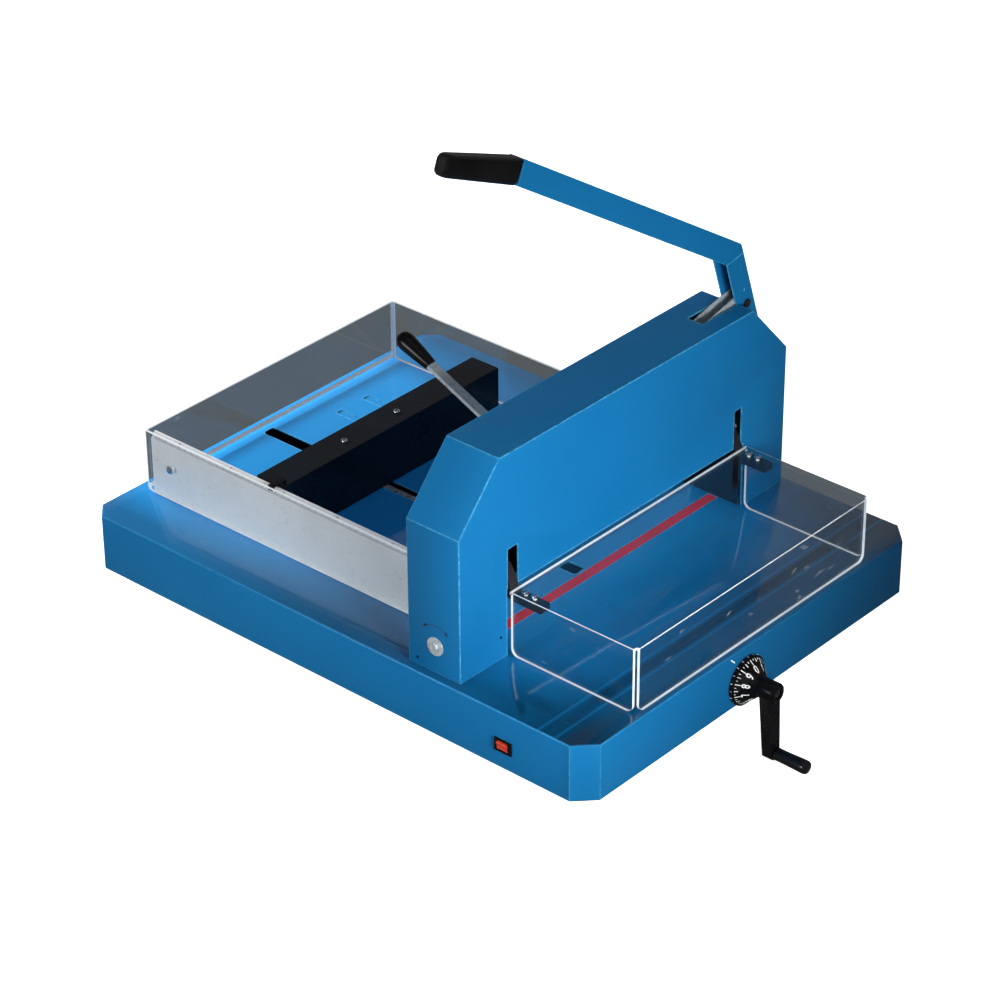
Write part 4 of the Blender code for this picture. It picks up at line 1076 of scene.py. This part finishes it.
# ================================================================ crank arm
def crank_arm():
    """Tapered web with a dished front face, a round hub and a bore for the grip's pin."""
    arm, pin = Box("crank_arm"), Box("crank_pin")
    plastic_mat = MATS["black_plastic"]
    hub_at, pin_at = Vector((DIAL.x, DIAL.z)), Vector((pin.x, pin.z))
    run = (pin_at - hub_at).normalized()
    across = Vector((-run.y, run.x))
    hub_half, pin_half = 12.8, 8.8  # half widths of the web
    outline = rounded([tuple(hub_at + across * hub_half - run * 2),
                       tuple(hub_at - across * hub_half - run * 2),
                       tuple(pin_at - across * pin_half + run * 10),
                       tuple(pin_at + across * pin_half + run * 10)],
                      [0, 0, 7.2, 7.2], steps=8)
    bm = bmesh.new()
    add_prism(bm, outline, on_xz, arm.y1 - 19.6, arm.y1 - 3.6)
    front = min(bm.faces, key=lambda face: face.calc_center_median().y)
    for thickness, depth in ((1.5, 0.0), (0.5, -1.2)):
        bmesh.ops.inset_region(bm, faces=[front], thickness=thickness * MM, depth=depth * MM)
    web = new_object(bm, "crank_arm_dished", [plastic_mat])
    mod = web.modifiers.new("bevel", "BEVEL")
    mod.width = 0.7 * MM
    mod.segments = 2
    mod.limit_method = "ANGLE"
    mod.angle_limit = math.radians(50)
    apply_modifiers(web)

    radius, length = 14.6, arm.y1 - arm.y0
    hub_profile = [(0, 0), (radius - 0.8, 0), (radius, 0.8), (radius, length - 3.4),
                   (radius - 0.8, length - 1.6), (radius - 2.6, length - 0.3),
                   (radius - 4.0, length), (7.0, length), (6.6, length - 0.4),
                   (6.6, length - 3.6), (0, length - 3.6)]
    bm = bmesh.new()
    add_turned(bm, hub_profile, facing("-Y", (DIAL.x, arm.y1, DIAL.z)), steps=48)
    boolean(web, new_object(bm, "crank_hub", [plastic_mat]), "UNION")
    drill(web, plastic_mat, radius=4.3, bottom=-2, top=40, steps=28,
          matrix=facing("-Y", (pin_at.x, arm.y1 - 5, pin_at.y)))
    hand_over(web, "crank", "crank_arm")

    # hexagon socket screw in the hub's front recess
    seat = facing("-Y", (DIAL.x, arm.y0 + 3.7, DIAL.z))
    bm = bmesh.new()
    add_turned(bm, [(0, 0), (5.6, 0), (5.6, 1.6), (5.2, 2.0), (0, 2.0)], seat, steps=32)
    screw = new_object(bm, "hub_set_screw", [MATS["grey_steel"], MATS["inside"]])
    # the hexagon socket takes the black material: painted shade on its walls and floor
    drill(screw, MATS["inside"], radius=2.9, bottom=0.6, top=3.0, matrix=seat, steps=6)
    hand_over(screw, "crank")


# ================================================================ stage, world, lights, camera
SEEN_THROUGH = (0.105, 0.115, 0.12)  # backdrop colour as seen through the clear sheets
FLOOR_Z = -0.10


def ground_material(name, shade):
    """Near-white to the camera, dark through clear sheets, dim grey to all other rays."""
    mat = Material(name)
    cloud = mat.noise(scale=1.2, detail=3, rough=0.5)
    color = mat.mix(cloud, (shade,) * 3, (shade * 0.985,) * 3)
    mat.set(color=color, rough=0.7, spec=0.2)
    glow = mat.node("ShaderNodeEmission", {"Color": (1, 1, 1), "Strength": 0.88})
    lit = mat.node("ShaderNodeAddShader", {0: mat.shader.outputs[0], 1: glow.outputs[0]})
    dark = mat.node("ShaderNodeEmission", {"Color": SEEN_THROUGH, "Strength": 1.0})
    rays = mat.node("ShaderNodeLightPath").outputs
    through = mat.times(mat.math("GREATER_THAN", rays["Transparent Depth"], 0.5),
                        rays["Is Camera Ray"])
    seen = mat.mix_shader(through, lit.outputs[0], dark.outputs[0])
    calm = mat.node("ShaderNodeBsdfDiffuse", {"Color": (0.16, 0.16, 0.16)})
    mat.feed(mat.surface, mat.mix_shader(rays["Is Camera Ray"], calm.outputs[0], seen))
    return mat.data


def build_stage():
    half = 14
    bm = bmesh.new()
    bm.faces.new([bm.verts.new(Vector((x, y, FLOOR_Z)))
                  for x, y in ((-half, -half), (half, -half), (half, half), (-half, half))])
    floor = new_object(bm, "studio_floor", [ground_material("studio_floor", shade=0.86)],
                       outward=False)
    base = Box("base_housing")
    x0, x1, y0, y1 = base.x0 + 24, base.x1 - 24, base.y0 + 36, base.y1 - 30
    outline = rounded([(x0, y0), (x1, y0), (x1, y1), (x0, y1)], [20] * 4, steps=6)
    podium = prism("studio_podium", [ground_material("studio_podium", shade=0.80)],
                   outline, on_xy, FLOOR_Z / MM, Box("foot_front_left").z0 - 0.05)


def build_world():
    """White to the camera, dark through clear sheets; a dim room lights the machine."""
    world = bpy.data.worlds.new("studio")
    scene.world = world
    world.use_nodes = True
    world.node_tree.nodes.clear()
    graph = Graph(world.node_tree)
    view = graph.split(graph.node("ShaderNodeTexCoord").outputs["Generated"])
    # a paler wall low in the sky towards +X +Y
    toward = graph.math("ADD", graph.times(view["X"], 0.74), graph.times(view["Y"], 0.67))
    wall = graph.times(
        graph.remap(view["Z"], span=(0.44, 0.60), onto=(1.0, 0.0), interpolation="SMOOTHSTEP"),
        graph.remap(toward, span=(0.2, 0.7), interpolation="SMOOTHSTEP"))
    level = graph.math("ADD", graph.times(wall, 0.10), 0.10)
    room, white, dark = [graph.node("ShaderNodeBackground", {0: color}).outputs[0]
                         for color in (graph.grey(level), (1, 1, 1), SEEN_THROUGH)]
    rays = graph.node("ShaderNodeLightPath").outputs
    through = graph.math("GREATER_THAN", rays["Transparent Depth"], 0.5)
    seen = graph.mix_shader(through, white, dark)
    graph.node("ShaderNodeOutputWorld",
               {"Surface": graph.mix_shader(rays["Is Camera Ray"], room, seen)})


def area_light(name, position, target, size, energy, spread=None, reflected=True):
    data = bpy.data.lights.new(name, "AREA")
    data.shape = "RECTANGLE"
    data.size, data.size_y = size
    data.energy = energy
    if spread:
        data.spread = math.radians(spread)
    lamp = bpy.data.objects.new(name, data)
    scene.collection.objects.link(lamp)
    lamp.location = position
    aim = Vector(target) - Vector(position)
    lamp.rotation_euler = aim.to_track_quat("-Z", "Y").to_euler()
    lamp.visible_glossy = reflected


def build_lights():
    area_light("key_front", position=(-0.80, -1.95, 0.75), target=(-0.1, -0.2, 0.15),
               size=(1.0, 0.7), energy=15, reflected=False)
    area_light("key_grid", position=(-0.80, -1.95, 0.80), target=(-0.20, -0.25, 0.22),
               size=(0.6, 0.45), energy=3.2, spread=50, reflected=False)
    area_light("fill_left", position=(-3.5, 0.75, 0.85), target=(-0.1, 0.1, 0.15),
               size=(1.6, 1.0), energy=52)
    area_light("top_soft", position=(-0.6, -0.9, 3.4), target=(0, 0, 0.1),
               size=(2.4, 2.4), energy=4)
    area_light("back_low", position=(0.1, 1.9, 0.60), target=(-0.05, 0.3, 0.1),
               size=(1.0, 0.45), energy=52, reflected=False)


def build_camera():
    data = bpy.data.cameras.new("photo_camera")
    data.lens = 126.55
    data.sensor_width = 36.0
    camera = bpy.data.objects.new("photo_camera", data)
    scene.collection.objects.link(camera)
    camera.location = (-3.1091, -2.7422, 2.6142)
    camera.rotation_euler = tuple(math.radians(a) for a in (58.993, 0.304, -48.775))
    scene.camera = camera
    scene.view_settings.view_transform = "Standard"
    scene.view_settings.look = "None"
    scene.view_settings.exposure = 0.0


# ================================================================ build
dress_nodes()
front_lid()
rear_guard()
dial_marks()
scale_marks()
head_details()
elbow_weld()
cross_screws()
crank_arm()
build_stage()
build_world()
build_lights()
build_camera()
